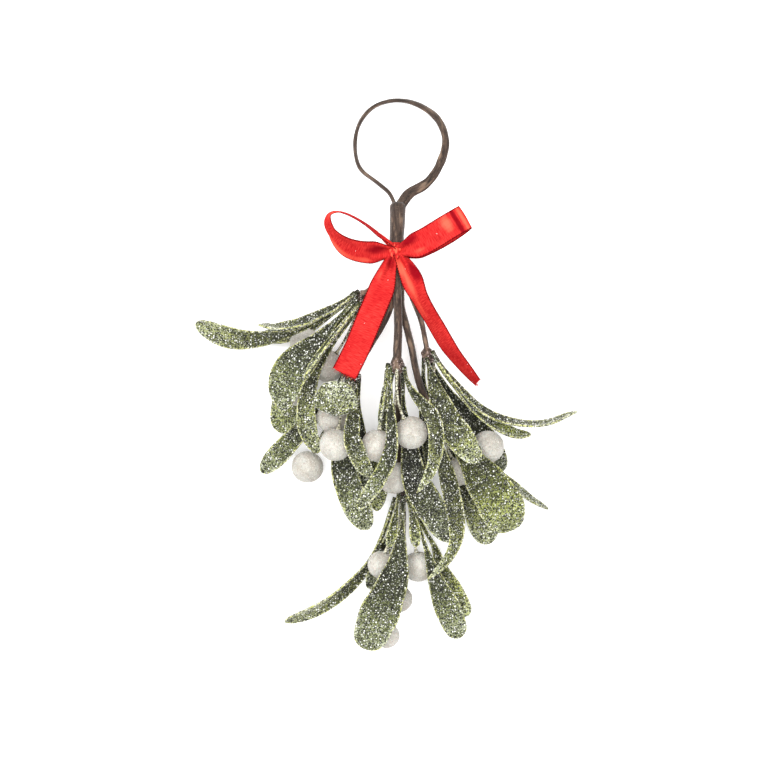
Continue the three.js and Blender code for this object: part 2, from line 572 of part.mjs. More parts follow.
// The room that the bundle needs through the knot.
function bundleRoomSolid() {
  const rings = [0, 1].map((along) => {
    const frame = sectionFrame(bundleLine.getTangentAt(along), UP)
    return ellipseRing(bundleLine.getPointAt(along), frame, WRAP_ROOM, WRAP_ROOM, WRAP_SIDES)
  })
  return toSolid(loft(rings, bundleLine.getPointAt(0), bundleLine.getPointAt(1)))
}

const strips = [ribbonStrip(LEFT_LOOP, 30, true), ribbonStrip(RIGHT_LOOP, 28, true),
  ribbonStrip(LEFT_TAIL, 12, false), ribbonStrip(RIGHT_TAIL, 14, false)]
const bow = strips.reduce((whole, strip) => whole.add(strip), knotSolid())
const tied = wrapSolid().add(bow.subtract(bundleRoomSolid())).simplify(RIBBON_SMALLEST)
add(object, 'ribbon_bow', fromSolid(tied), RED_SATIN)

// ---- The whole bunch, its origin at the middle of its underside ---------------------------------------

const box = new THREE.Box3().setFromObject(object)
const middle = box.getCenter(new THREE.Vector3())
const bunch = new THREE.Group()
bunch.add(object)
object.position.set(-middle.x, -middle.y, -box.min.z)

export default bunch
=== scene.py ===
# An artificial mistletoe bunch lying on a pale floor, seen from straight above: frosted leaves, pearl
# berries, taped wire stems and hanging loop, and a red satin ribbon bow. Metres.
import json
import math

import bmesh
import bpy
import numpy as np
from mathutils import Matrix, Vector, kdtree


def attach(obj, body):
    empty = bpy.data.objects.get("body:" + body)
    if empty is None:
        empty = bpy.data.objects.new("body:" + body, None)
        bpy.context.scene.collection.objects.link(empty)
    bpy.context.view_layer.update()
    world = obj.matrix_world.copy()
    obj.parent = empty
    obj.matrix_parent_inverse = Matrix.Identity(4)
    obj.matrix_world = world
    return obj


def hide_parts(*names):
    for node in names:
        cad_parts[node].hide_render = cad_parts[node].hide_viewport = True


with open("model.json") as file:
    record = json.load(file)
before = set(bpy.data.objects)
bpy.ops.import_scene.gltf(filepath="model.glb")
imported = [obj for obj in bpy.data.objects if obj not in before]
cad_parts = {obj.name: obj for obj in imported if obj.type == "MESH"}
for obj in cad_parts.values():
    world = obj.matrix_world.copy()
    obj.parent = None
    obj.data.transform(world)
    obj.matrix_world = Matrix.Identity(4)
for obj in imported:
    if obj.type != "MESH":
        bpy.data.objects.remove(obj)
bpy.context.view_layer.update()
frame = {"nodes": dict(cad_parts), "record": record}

MM = 0.001
nodes = frame["nodes"]
slots = {part["node"]: part["material_slot"] for part in frame["record"]["subparts"]}

# ---- Camera, lights and floor ------------------------------------------------------------------------

CAMERA_AT = (-0.8 * MM, -4.4 * MM)
CAMERA_DISTANCE = 833 * MM
LENS = 100
SENSOR = 36
FOCUS_HEIGHT = 20 * MM

scene = bpy.context.scene
scene.view_settings.view_transform = "Standard"

camera_data = bpy.data.cameras.new("camera")
camera_data.lens = LENS
camera_data.sensor_width = SENSOR
camera_data.clip_start = 0.05
camera_data.clip_end = 20
camera = bpy.data.objects.new("camera", camera_data)
camera.location = (*CAMERA_AT, FOCUS_HEIGHT + CAMERA_DISTANCE)
scene.collection.objects.link(camera)
scene.camera = camera


def area_light(name, location, size, energy):
    """A soft square light that points at the middle of the bunch."""
    data = bpy.data.lights.new(name, "AREA")
    data.size = size
    data.energy = energy
    light = bpy.data.objects.new(name, data)
    light.location = location
    light.rotation_euler = (-Vector(location)).to_track_quat("-Z", "Y").to_euler()
    scene.collection.objects.link(light)


area_light("top_light", (0, 0.05, 1.7), 1.1, 30)
area_light("key_light", (-0.6, 0.65, 1.3), 0.7, 15)
area_light("front_light", (0.2, -0.8, 1.2), 0.9, 5)

world = bpy.data.worlds.new("studio")
scene.world = world
world.use_nodes = True
background = world.node_tree.nodes["Background"]
background.inputs["Color"].default_value = (1, 1, 1, 1)
background.inputs["Strength"].default_value = 0.8

# ---- Node materials ----------------------------------------------------------------------------------


class Shader:
    """A node material with one Principled shader, built up by short calls."""

    def __init__(self, name, **numbers):
        self.material = bpy.data.materials.new(name)
        self.material.use_nodes = True
        self.tree = self.material.node_tree
        self.surface = self.tree.nodes["Principled BSDF"]
        for socket, value in numbers.items():
            self.surface.inputs[socket.replace("_", " ")].default_value = value

    def node(self, kind, settings=None, **inputs):
        made = self.tree.nodes.new(kind)
        for key, value in (settings or {}).items():
            setattr(made, key, value)
        for key, value in inputs.items():
            self.set(made.inputs[key.replace("_", " ")], value)
        return made

    def set(self, socket, value):
        if isinstance(value, bpy.types.NodeSocket):
            self.tree.links.new(value, socket)
        else:
            socket.default_value = value

    def math(self, operation, a, b=0.0, clamp=False):
        made = self.node("ShaderNodeMath", {"operation": operation, "use_clamp": clamp})
        for socket, value in zip(made.inputs, (a, b)):
            self.set(socket, value)
        return made.outputs[0]

    def span(self, value, low, high, to_low=0.0, to_high=1.0):
        """The value, carried over smoothly from the first range to the second."""
        made = self.node("ShaderNodeMapRange", {"interpolation_type": "SMOOTHSTEP"}, Value=value)
        for key, number in zip(("From Min", "From Max", "To Min", "To Max"), (low, high, to_low, to_high)):
            made.inputs[key].default_value = number
        return made.outputs["Result"]

    def mix(self, factor, a, b, blend="MIX"):
        made = self.node("ShaderNodeMix", {"data_type": "RGBA", "blend_type": blend})
        self.set(made.inputs[0], factor)
        for socket, value in ((made.inputs[6], a), (made.inputs[7], b)):
            self.set(socket, (*value, 1) if isinstance(value, tuple) and len(value) == 3 else value)
        return made.outputs[2]

    def attribute(self, name, output="Fac"):
        return self.node("ShaderNodeAttribute", {"attribute_name": name}).outputs[output]

    def place(self):
        return self.node("ShaderNodeTexCoord").outputs["Object"]

    def stretched(self, vector, scale):
        return self.node("ShaderNodeMapping", Vector=vector, Scale=scale).outputs["Vector"]

    def noise(self, vector, scale, detail=3.0, roughness=0.55):
        return self.node("ShaderNodeTexNoise", Vector=vector, Scale=scale, Detail=detail,
                         Roughness=roughness).outputs["Fac"]

    def specks(self, vector, cell, size, share):
        """A mask of dots on a jittered grid of that cell size, where a share of the cells holds one, and a
        random tone for each cell."""
        cells = self.node("ShaderNodeTexVoronoi", {"feature": "F1"}, Vector=vector, Scale=1 / cell)
        dot = self.span(cells.outputs["Distance"], size, size * 0.55)
        chance = self.node("ShaderNodeSeparateColor", Color=cells.outputs["Color"])
        picked = self.span(chance.outputs[0], 1 - share, 1 - share + 0.12)
        return self.math("MULTIPLY", dot, picked), chance.outputs[1]

    def bump(self, height, distance, strength=1.0):
        made = self.node("ShaderNodeBump", Height=height, Distance=distance, Strength=strength)
        return made.outputs["Normal"]

    def finished(self, **sockets):
        """The material, once these sockets of its surface are linked."""
        for name, value in sockets.items():
            self.set(self.surface.inputs[name.replace("_", " ")], value)
        return self.material


LEAF_EDGE = (0.48, 0.47, 0.24)  # the pale line along a leaf's margin
HAZE = (0.26, 0.275, 0.16)  # thin frost, and thicker frost towards the tip
TIP_HAZE = (0.36, 0.38, 0.33)
SMALL_SPECK, SMALL_SPECK_COLOUR = 0.62 * MM, (0.62, 0.63, 0.48)
LARGE_SPECK, LARGE_SPECK_COLOUR = 0.95 * MM, (0.95, 0.95, 0.90)


def leaf_shader(name, deep, rim, frost_share):
    """A mottled leaf with paler rims, frost that thickens towards the tip, and painted shade that darkens it
    towards its foot and along its middle and lightens it towards the tip.
    """
    s = Shader(name, Specular_IOR_Level=0.3)
    where = s.place()
    tint = s.attribute("tint")
    mottle = s.noise(where, 260, 4)
    fine = s.noise(where, 1500, 3)
    grit_and_hollow_shade = s.noise(where, 1600, 2, 0.55)
    colour = s.mix(s.span(mottle, 0.35, 0.68), tuple(0.6 * c for c in deep), tuple(1.6 * c for c in deep))
    patch = s.span(s.math("ADD", mottle, s.math("MULTIPLY", tint, 0.2)), 0.5, 0.8, 0, 0.3)
    colour = s.mix(patch, colour, rim)
    wander = s.noise(where, 420, 2)
    to_rim = s.math("ADD", s.attribute("rim"), s.math("MULTIPLY", s.math("SUBTRACT", wander, 0.5), 1.1))
    frost = s.attribute("frost")
    near_rim = s.math("MULTIPLY", s.span(to_rim, 0.35, 0.95, 0, 0.85), s.span(frost, 0.0, 0.5, 0.35, 1))
    colour = s.mix(near_rim, colour, rim)
    # Painted shade: darker towards the foot and along the middle of the leaf, lighter towards the tip, by the
    # same value as the frost.
    colour = s.mix(1.0, colour, s.span(frost, 0.0, 0.75, 0.4, 1.35), "MULTIPLY")
    edge = s.math("MULTIPLY", s.span(s.attribute("rim"), 0.72, 0.85), s.span(wander, 0.45, 0.6, 0.05, 0.9))
    colour = s.mix(edge, colour, LEAF_EDGE)
    small, small_tone = s.specks(where, SMALL_SPECK, 0.4, frost_share * 0.7)
    large, large_tone = s.specks(where, LARGE_SPECK, 0.4, frost_share * 0.66)
    haze = s.math("MULTIPLY", s.span(fine, 0.45, 0.62), s.span(frost, 0.2, 0.8, 0.0, 0.45))
    colour = s.mix(haze, colour, HAZE)
    tip_haze = s.math("MULTIPLY", s.span(mottle, 0.4, 0.6), s.span(frost, 0.6, 1.0, 0.0, 0.5))
    colour = s.mix(tip_haze, colour, TIP_HAZE)
    # Painted shade in the hollows: the colour is darkened where the grit bump is low and lightened where it
    # is high.
    colour = s.mix(1.0, colour, s.span(grit_and_hollow_shade, 0.43, 0.57, 0.06, 1.46), "MULTIPLY")
    small_frost = s.math("MULTIPLY", small, s.span(small_tone, 0.2, 1, 0.1, 0.95))
    colour = s.mix(small_frost, colour, SMALL_SPECK_COLOUR)
    large_frost = s.math("MULTIPLY", large, s.span(large_tone, 0, 0.8, 0.3, 1.0))
    colour = s.mix(large_frost, colour, LARGE_SPECK_COLOUR)
    grain = s.math("MAXIMUM", small, large)
    height = s.math("ADD", s.math("MULTIPLY", grain, 0.8), grit_and_hollow_shade)
    return s.finished(Base_Color=colour, Roughness=s.span(grain, 0, 1, 0.65, 0.3),
                      Normal=s.bump(height, 0.3 * MM))


def grain_shader(name, dark, light, roughness=0.22):
    """Crystals, beads or threads, each between two colours by its own tone."""
    s = Shader(name, Roughness=roughness, Specular_IOR_Level=0.8)
    tone = s.attribute("tone")
    flaw = s.noise(s.place(), 4000, 2)
    colour = s.mix(s.math("ADD", tone, s.math("MULTIPLY", s.math("SUBTRACT", flaw, 0.5), 0.3), clamp=True),
                   dark, light)
    return s.finished(Base_Color=colour)


def berry_shader(name):
    """A blotched pearl under small beads, with painted shade in darker pits among them."""
    s = Shader(name, Specular_IOR_Level=0.5, Subsurface_Weight=0.08, Subsurface_Scale=0.6 * MM)
    where = s.place()
    blotch = s.noise(where, 170, 4)
    fine = s.noise(where, 1100, 4, 0.7)
    tint = s.attribute("tint")
    colour = s.mix(s.span(blotch, 0.38, 0.66), (0.36, 0.335, 0.29), (0.47, 0.455, 0.41))
    colour = s.mix(s.math("MULTIPLY", s.span(fine, 0.5, 0.68), s.span(tint, -1, 1, 0.35, 0.8)),
                   colour, (0.26, 0.215, 0.18))
    beads, tone = s.specks(where, 0.6 * MM, 0.45, 0.65)
    colour = s.mix(s.math("MULTIPLY", beads, s.span(tone, 0, 1, 0.2, 0.85)), colour, (0.74, 0.73, 0.69))
    # Painted shade: dark dots for the shadow in small pits between the beads.
    pit_shade, _ = s.specks(where, 0.9 * MM, 0.3, 0.4)
    colour = s.mix(s.math("MULTIPLY", pit_shade, 0.55), colour, (0.17, 0.135, 0.115))
    height = s.math("ADD", beads, s.math("MULTIPLY", fine, 1.4))
    return s.finished(Base_Color=colour, Roughness=s.span(beads, 0, 1, 0.55, 0.3),
                      Normal=s.bump(height, 0.3 * MM))


def tape_shader(name, dark, middle, light):
    """Crepe paper tape: streaks and creases along the wire, laps across it."""
    s = Shader(name, Specular_IOR_Level=0.3, Sheen_Weight=0.15)
    wrap = s.attribute("wrap", "Vector")
    streak = s.noise(s.stretched(wrap, (1, 0.12, 1)), 1500, 4, 0.65)
    broad = s.noise(s.stretched(wrap, (1, 0.25, 1)), 420, 3)
    fleck = s.noise(s.place(), 1800, 3)
    colour = s.mix(s.span(streak, 0.36, 0.64), dark, middle)
    colour = s.mix(s.span(broad, 0.5, 0.7, 0, 0.75), colour, light)
    colour = s.mix(s.span(fleck, 0.58, 0.75, 0, 0.5), colour, light)
    lap = s.attribute("lap")
    colour = s.mix(s.math("MULTIPLY", lap, 0.7), colour, dark)
    height = s.math("ADD", streak, s.math("MULTIPLY", fleck, 0.4))
    return s.finished(Base_Color=colour, Roughness=s.span(streak, 0.3, 0.7, 0.8, 0.55),
                      Normal=s.bump(height, 0.25 * MM, 0.85))


def satin_shader(name):
    """Red satin: cross threads, picot edges, and painted highlights and painted shade where it is folded."""
    s = Shader(name, Roughness=0.5, IOR=1.03, Specular_IOR_Level=0.1)
    cloth = s.attribute("cloth", "Vector")
    parts = s.node("ShaderNodeSeparateXYZ", Vector=cloth)
    across, along = parts.outputs[0], parts.outputs[1]
    threads = s.noise(s.stretched(cloth, (0.1, 1, 1)), 3600, 2, 0.5)
    cloud = s.noise(s.place(), 150, 3)
    streak = s.noise(s.stretched(cloth, (1, 0.16, 1)), 900, 3)
    # Painted highlight and painted shade at the folds: the strip's value, broken up by streaks along the
    # ribbon.
    fold = s.math("ADD", s.attribute("fold"), s.math("MULTIPLY", s.math("SUBTRACT", streak, 0.5), 0.5))
    colour = s.mix(s.span(threads, 0.3, 0.7), (0.34, 0.010, 0.011), (0.57, 0.036, 0.031))
    colour = s.mix(s.span(cloud, 0.42, 0.7, 0, 0.4), colour, (0.34, 0.005, 0.009))
    # Painted highlight where that value is high, painted shade where it is low.
    colour = s.mix(s.span(fold, 0.12, 0.95, 0, 0.85), colour, (0.86, 0.11, 0.065))
    colour = s.mix(s.span(fold, -0.12, -0.85, 0, 0.9), colour, (0.17, 0.0015, 0.006))
    edge = s.span(s.math("ABSOLUTE", across), 4.35 * MM, 4.75 * MM)
    dash = s.span(s.math("PINGPONG", along, 0.5 * MM), 0.1 * MM, 0.35 * MM, 0.5, 1)
    colour = s.mix(s.math("MULTIPLY", edge, dash), colour, (0.09, 0.001, 0.003))
    height = s.math("ADD", threads, s.math("MULTIPLY", s.math("MULTIPLY", edge, dash), -1.5))
    return s.finished(Base_Color=colour, Normal=s.bump(height, 0.1 * MM, 0.8))


LEAF_SHADERS = {
    "leaf_frosted_green": leaf_shader("leaf_frosted_green", (0.058, 0.066, 0.022), (0.27, 0.28, 0.08), 0.62),
    "leaf_yellow_green": leaf_shader("leaf_yellow_green", (0.098, 0.110, 0.024), (0.28, 0.29, 0.075), 0.5),
    "leaf_dark_green": leaf_shader("leaf_dark_green", (0.028, 0.032, 0.011), (0.22, 0.23, 0.065), 0.52),
}
FROST = grain_shader("frost_grains", (0.16, 0.17, 0.13), (0.95, 0.95, 0.91))
BERRY = berry_shader("berry_pearl")
STALK = leaf_shader("berry_stalk", (0.30, 0.27, 0.19), (0.52, 0.50, 0.36), 0.75)
BEADS = grain_shader("berry_beads", (0.28, 0.24, 0.20), (0.78, 0.77, 0.73), 0.3)
TAPE = tape_shader("stem_tape", (0.012, 0.0065, 0.004), (0.052, 0.030, 0.019), (0.20, 0.132, 0.088))
HUB_GRAINS = grain_shader("hub_grains", (0.16, 0.07, 0.06), (0.74, 0.60, 0.58))
SATIN = satin_shader("ribbon_satin")
PINK_THREAD = grain_shader("pink_thread", (0.72, 0.38, 0.36), (0.85, 0.62, 0.58), 0.5)

# The floor gives off a little light of its own, as the backdrop of the photograph is pure white.
floor_shader = Shader("floor", Roughness=0.7, Specular_IOR_Level=0.2, Emission_Strength=0.22)
floor_shader.surface.inputs["Emission Color"].default_value = (1, 1, 1, 1)
floor_tone = floor_shader.noise(floor_shader.place(), 3, 2)
floor_colour = floor_shader.mix(floor_tone, (0.93, 0.93, 0.93), (0.95, 0.95, 0.95))
FLOOR_SIZE = 12
bpy.ops.mesh.primitive_plane_add(size=FLOOR_SIZE)
floor = bpy.context.object
floor.name = "floor"
floor.data.materials.append(floor_shader.finished(Base_Color=floor_colour))

# ---- Reading the CAD solids --------------------------------------------------------------------------

WELD_DISTANCE = 0.002 * MM


def unit(v):
    return v / np.maximum(np.linalg.norm(v, axis=-1, keepdims=True), 1e-12)


def welded(name):
    """A CAD node's corner points and triangles, with the points that coincide joined."""
    mesh = nodes[name].data
    points = np.empty(len(mesh.vertices) * 3)
    mesh.vertices.foreach_get("co", points)
    points = points.reshape(-1, 3)
    tree = kdtree.KDTree(len(points))
    for i, p in enumerate(points):
        tree.insert(p, i)
    tree.balance()
    first = [min(found[1] for found in tree.find_range(p, WELD_DISTANCE)) for p in points]
    kept = sorted(set(first))
    number = {old: new for new, old in enumerate(kept)}
    mesh.calc_loop_triangles()
    triangles = [[number[first[i]] for i in t.vertices] for t in mesh.loop_triangles]
    return points[kept], triangles


def cycle_of(ring, neighbours):
    """The ring's points in order round it."""
    ring = set(ring)
    order = [min(ring)]
    while len(order) < len(ring):
        order.append(next(n for n in sorted(neighbours[order[-1]]) if n in ring and n not in order))
    return order


def rings_of(name, sides):
    """The rings of a lofted CAD solid as an array (ring, point, 3), each right-handed about the way to the
    next and matched point by point, and the two end points."""
    points, triangles = welded(name)
    neighbours = [set() for _ in points]
    for a, b, c in triangles:
        neighbours[a] |= {b, c}
        neighbours[b] |= {a, c}
        neighbours[c] |= {a, b}
    for start in range(len(points)):
        if len(neighbours[start]) != sides:
            continue
        layers, seen = [[start]], {start}
        while layers[-1]:
            layer = {n for p in layers[-1] for n in neighbours[p]} - seen
            seen |= layer
            layers.append(sorted(layer))
        layers.pop()
        if len(layers[-1]) == 1 and all(len(layer) == sides for layer in layers[1:-1]):
            break
    rings = [cycle_of(layer, neighbours) for layer in layers[1:-1]]
    for i, ring in enumerate(rings):
        after = points[rings[i + 1]].mean(0) if i + 1 < len(rings) else points[layers[-1][0]]
        before = points[rings[i - 1]].mean(0) if i else points[start]
        here = points[ring]
        turn = np.cross(here - here.mean(0), np.roll(here, -1, 0) - here.mean(0)).sum(0)
        if turn @ (after - before) < 0:
            rings[i] = ring[::-1]
        if i:
            onward = [p for p in rings[i] if p in neighbours[rings[i - 1][0]]]
            a, b = (rings[i].index(p) for p in onward)
            begin = a if (a + 1) % sides == b else b
            rings[i] = rings[i][begin:] + rings[i][:begin]
    return points[rings], points[start], points[layers[-1][0]]


def lofted(name, sides):
    """The rings of a lofted CAD solid from its flat end on, and the point that closes the other end."""
    rings, foot, tip = rings_of(name, sides)
    if np.linalg.norm(rings[0].mean(0) - foot) > np.linalg.norm(rings[-1].mean(0) - tip):
        return rings[::-1, ::-1], foot
    return rings, tip


# ---- Curves and skins --------------------------------------------------------------------------------


def spline(knots, values, at):
    """A natural cubic spline through the values at the knots, read at each of `at`."""
    knots, values, at = np.asarray(knots, float), np.asarray(values, float), np.asarray(at, float)
    step = np.diff(knots)
    count = len(knots)
    system = np.eye(count)
    right = np.zeros(values.shape)
    for i in range(1, count - 1):
        system[i, i - 1:i + 2] = step[i - 1], 2 * (step[i - 1] + step[i]), step[i]
        right[i] = 6 * ((values[i + 1] - values[i]) / step[i] - (values[i] - values[i - 1]) / step[i - 1])
    bend = np.linalg.solve(system, right)
    i = np.clip(np.searchsorted(knots, at, side="right") - 1, 0, count - 2)
    h = step[i]
    a, b = (knots[i + 1] - at) / h, (at - knots[i]) / h
    if values.ndim > 1:
        h, a, b = h[:, None], a[:, None], b[:, None]
    return a * values[i] + b * values[i + 1] + ((a**3 - a) * bend[i] + (b**3 - b) * bend[i + 1]) * h * h / 6


def chord_lengths(points):
    return np.concatenate([[0], np.cumsum(np.linalg.norm(np.diff(points, axis=0), axis=1))])


def smoothstep(low, high, value):
    t = np.clip((value - low) / (high - low), 0, 1)
    return t * t * (3 - 2 * t)


VECTOR_VALUES = ("wrap", "cloth")


class Skin:
    """Vertices, faces, a material number for each face, and named values for each vertex (0 where none is
    given)."""

    def __init__(self):
        self.points, self.faces, self.materials, self.smooth, self.values = [], [], [], [], {}
        self.count = 0

    def add(self, points, faces, material=0, smooth=True, **values):
        points = np.asarray(points).reshape(-1, 3)
        for key, value in values.items():
            shape = (len(points), 3) if key in VECTOR_VALUES else (len(points),)
            store = self.values.setdefault(key, [])
            store.append((self.count, np.broadcast_to(np.asarray(value, float), shape)))
        self.points.append(points)
        self.faces += [[i + self.count for i in face] for face in faces]
        self.materials += [material] * len(faces)
        self.smooth += [smooth] * len(faces)
        self.count += len(points)

    def object(self, name, materials):
        mesh = bpy.data.meshes.new(name)
        mesh.from_pydata(np.concatenate(self.points).tolist(), [], self.faces)
        for material in materials:
            mesh.materials.append(material)
        mesh.polygons.foreach_set("material_index", self.materials)
        mesh.polygons.foreach_set("use_smooth", self.smooth)
        for key, parts in self.values.items():
            wide = key in VECTOR_VALUES
            full = np.zeros((self.count, 3) if wide else self.count)
            for begin, value in parts:
                full[begin:begin + len(value)] = value
            made = mesh.attributes.new(key, "FLOAT_VECTOR" if wide else "FLOAT", "POINT")
            made.data.foreach_set("vector" if wide else "value", full.ravel())
        mesh.update()
        piece = bpy.data.objects.new(name, mesh)
        scene.collection.objects.link(piece)
        return piece


def settle(skin, name, ending, materials):
    """The skin as the piece that stands for the CAD node of that name."""
    piece = skin.object(name + ending, materials)
    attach(piece, "root")
    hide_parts(name)


def loft_faces(rows, sides):
    """Quads over rows of points and a fan at each end, whose middle points follow the rows."""
    faces = []
    for row in range(rows - 1):
        for side in range(sides):
            a, b = row * sides + side, row * sides + (side + 1) % sides
            faces.append((a, b, b + sides, a + sides))
    foot, tip, last = rows * sides, rows * sides + 1, (rows - 1) * sides
    for side in range(sides):
        after = (side + 1) % sides
        faces.append((foot, after, side))
        faces.append((tip, last + side, last + after))
    return faces


def sample_skin(points, faces, count, rng, weight=None):
    """Random points on a skin, their normals, and the skin's area."""
    tri = np.array([(f[0], f[i], f[i + 1]) for f in faces for i in range(1, len(f) - 1)])
    a, b, c = points[tri[:, 0]], points[tri[:, 1]], points[tri[:, 2]]
    cross = np.cross(b - a, c - a)
    area = np.linalg.norm(cross, axis=1) / 2
    share = area if weight is None else area * weight[tri].mean(1)
    pick = rng.choice(len(tri), count, p=share / share.sum())
    u, v = rng.random(count), rng.random(count)
    flip = u + v > 1
    u, v = np.where(flip, 1 - u, u), np.where(flip, 1 - v, v)
    at = a[pick] + (b - a)[pick] * u[:, None] + (c - a)[pick] * v[:, None]
    return at, unit(cross[pick]), area.sum()


GRAIN_CORNERS = np.array([(1, 0, 0), (-1, 0, 0), (0, 1, 0), (0, -1, 0), (0, 0, 1), (0, 0, -1)], float)
GRAIN_FACES = [(0, 2, 4), (2, 1, 4), (1, 3, 4), (3, 0, 4), (2, 0, 5), (1, 2, 5), (3, 1, 5), (0, 3, 5)]


def grains(at, normals, sizes, rng):
    """Small eight-sided crystals, each turned its own way and sunk a little into the surface."""
    count = len(at)
    q = unit(rng.normal(size=(count, 4)))
    w, x, y, z = q.T
    turn = np.stack([
        np.stack([1 - 2 * (y * y + z * z), 2 * (x * y - z * w), 2 * (x * z + y * w)], -1),
        np.stack([2 * (x * y + z * w), 1 - 2 * (x * x + z * z), 2 * (y * z - x * w)], -1),
        np.stack([2 * (x * z - y * w), 2 * (y * z + x * w), 1 - 2 * (x * x + y * y)], -1)], 1)
    shape = GRAIN_CORNERS[None] * rng.uniform(0.55, 1.0, (count, 1, 3)) * sizes[:, None, None]
    corners = np.einsum("nij,nkj->nki", turn, shape) + (at + normals * sizes[:, None] * 0.25)[:, None]
    faces = [tuple(i + len(GRAIN_CORNERS) * g for i in face) for g in range(count) for face in GRAIN_FACES]
    return corners.reshape(-1, 3), faces


def sprinkle(skin, points, faces, count, sizes, tones, rng, weight=None):
    """Grains over some faces of a skin, in its second material, with sizes in mm between two limits and
    tones by a beta distribution."""
    at, outward, _ = sample_skin(points, faces, count, rng, weight)
    corners, grain_faces = grains(at, outward, rng.uniform(*sizes, count) * MM, rng)
    skin.add(corners, grain_faces, 1, False, tone=np.repeat(rng.beta(*tones, count), len(GRAIN_CORNERS)))


# ---- Leaves ------------------------------------------------------------------------------------------

LEAF_RING = 6  # corners of a CAD leaf's ring
WIDE_RING = 5  # a ring where the leaf is wide
LEAF_ROWS = 78
TIP_ROWS = 22
TIP_FROM = 0.76  # share of the length past which the rows crowd towards the tip
LEAF_SINK = 0.012  # share of the length by which a leaf reaches back towards its hub
LEAF_TOP_POINTS = 19
LEAF_UNDER_POINTS = 11
NARROWEST = 0.25 * MM
BEAD_HEIGHT = 0.26 * MM
BEAD_WIDTH = 0.55 * MM
GROOVE_DEPTH = 0.24 * MM
VEIN_DEPTH = 0.05 * MM
KEEL_DEPTH = 0.32 * MM
LEAF_GRAINS_PER_MM2 = 1.15
LEAF_GRAIN_SIZES = (0.11, 0.27)


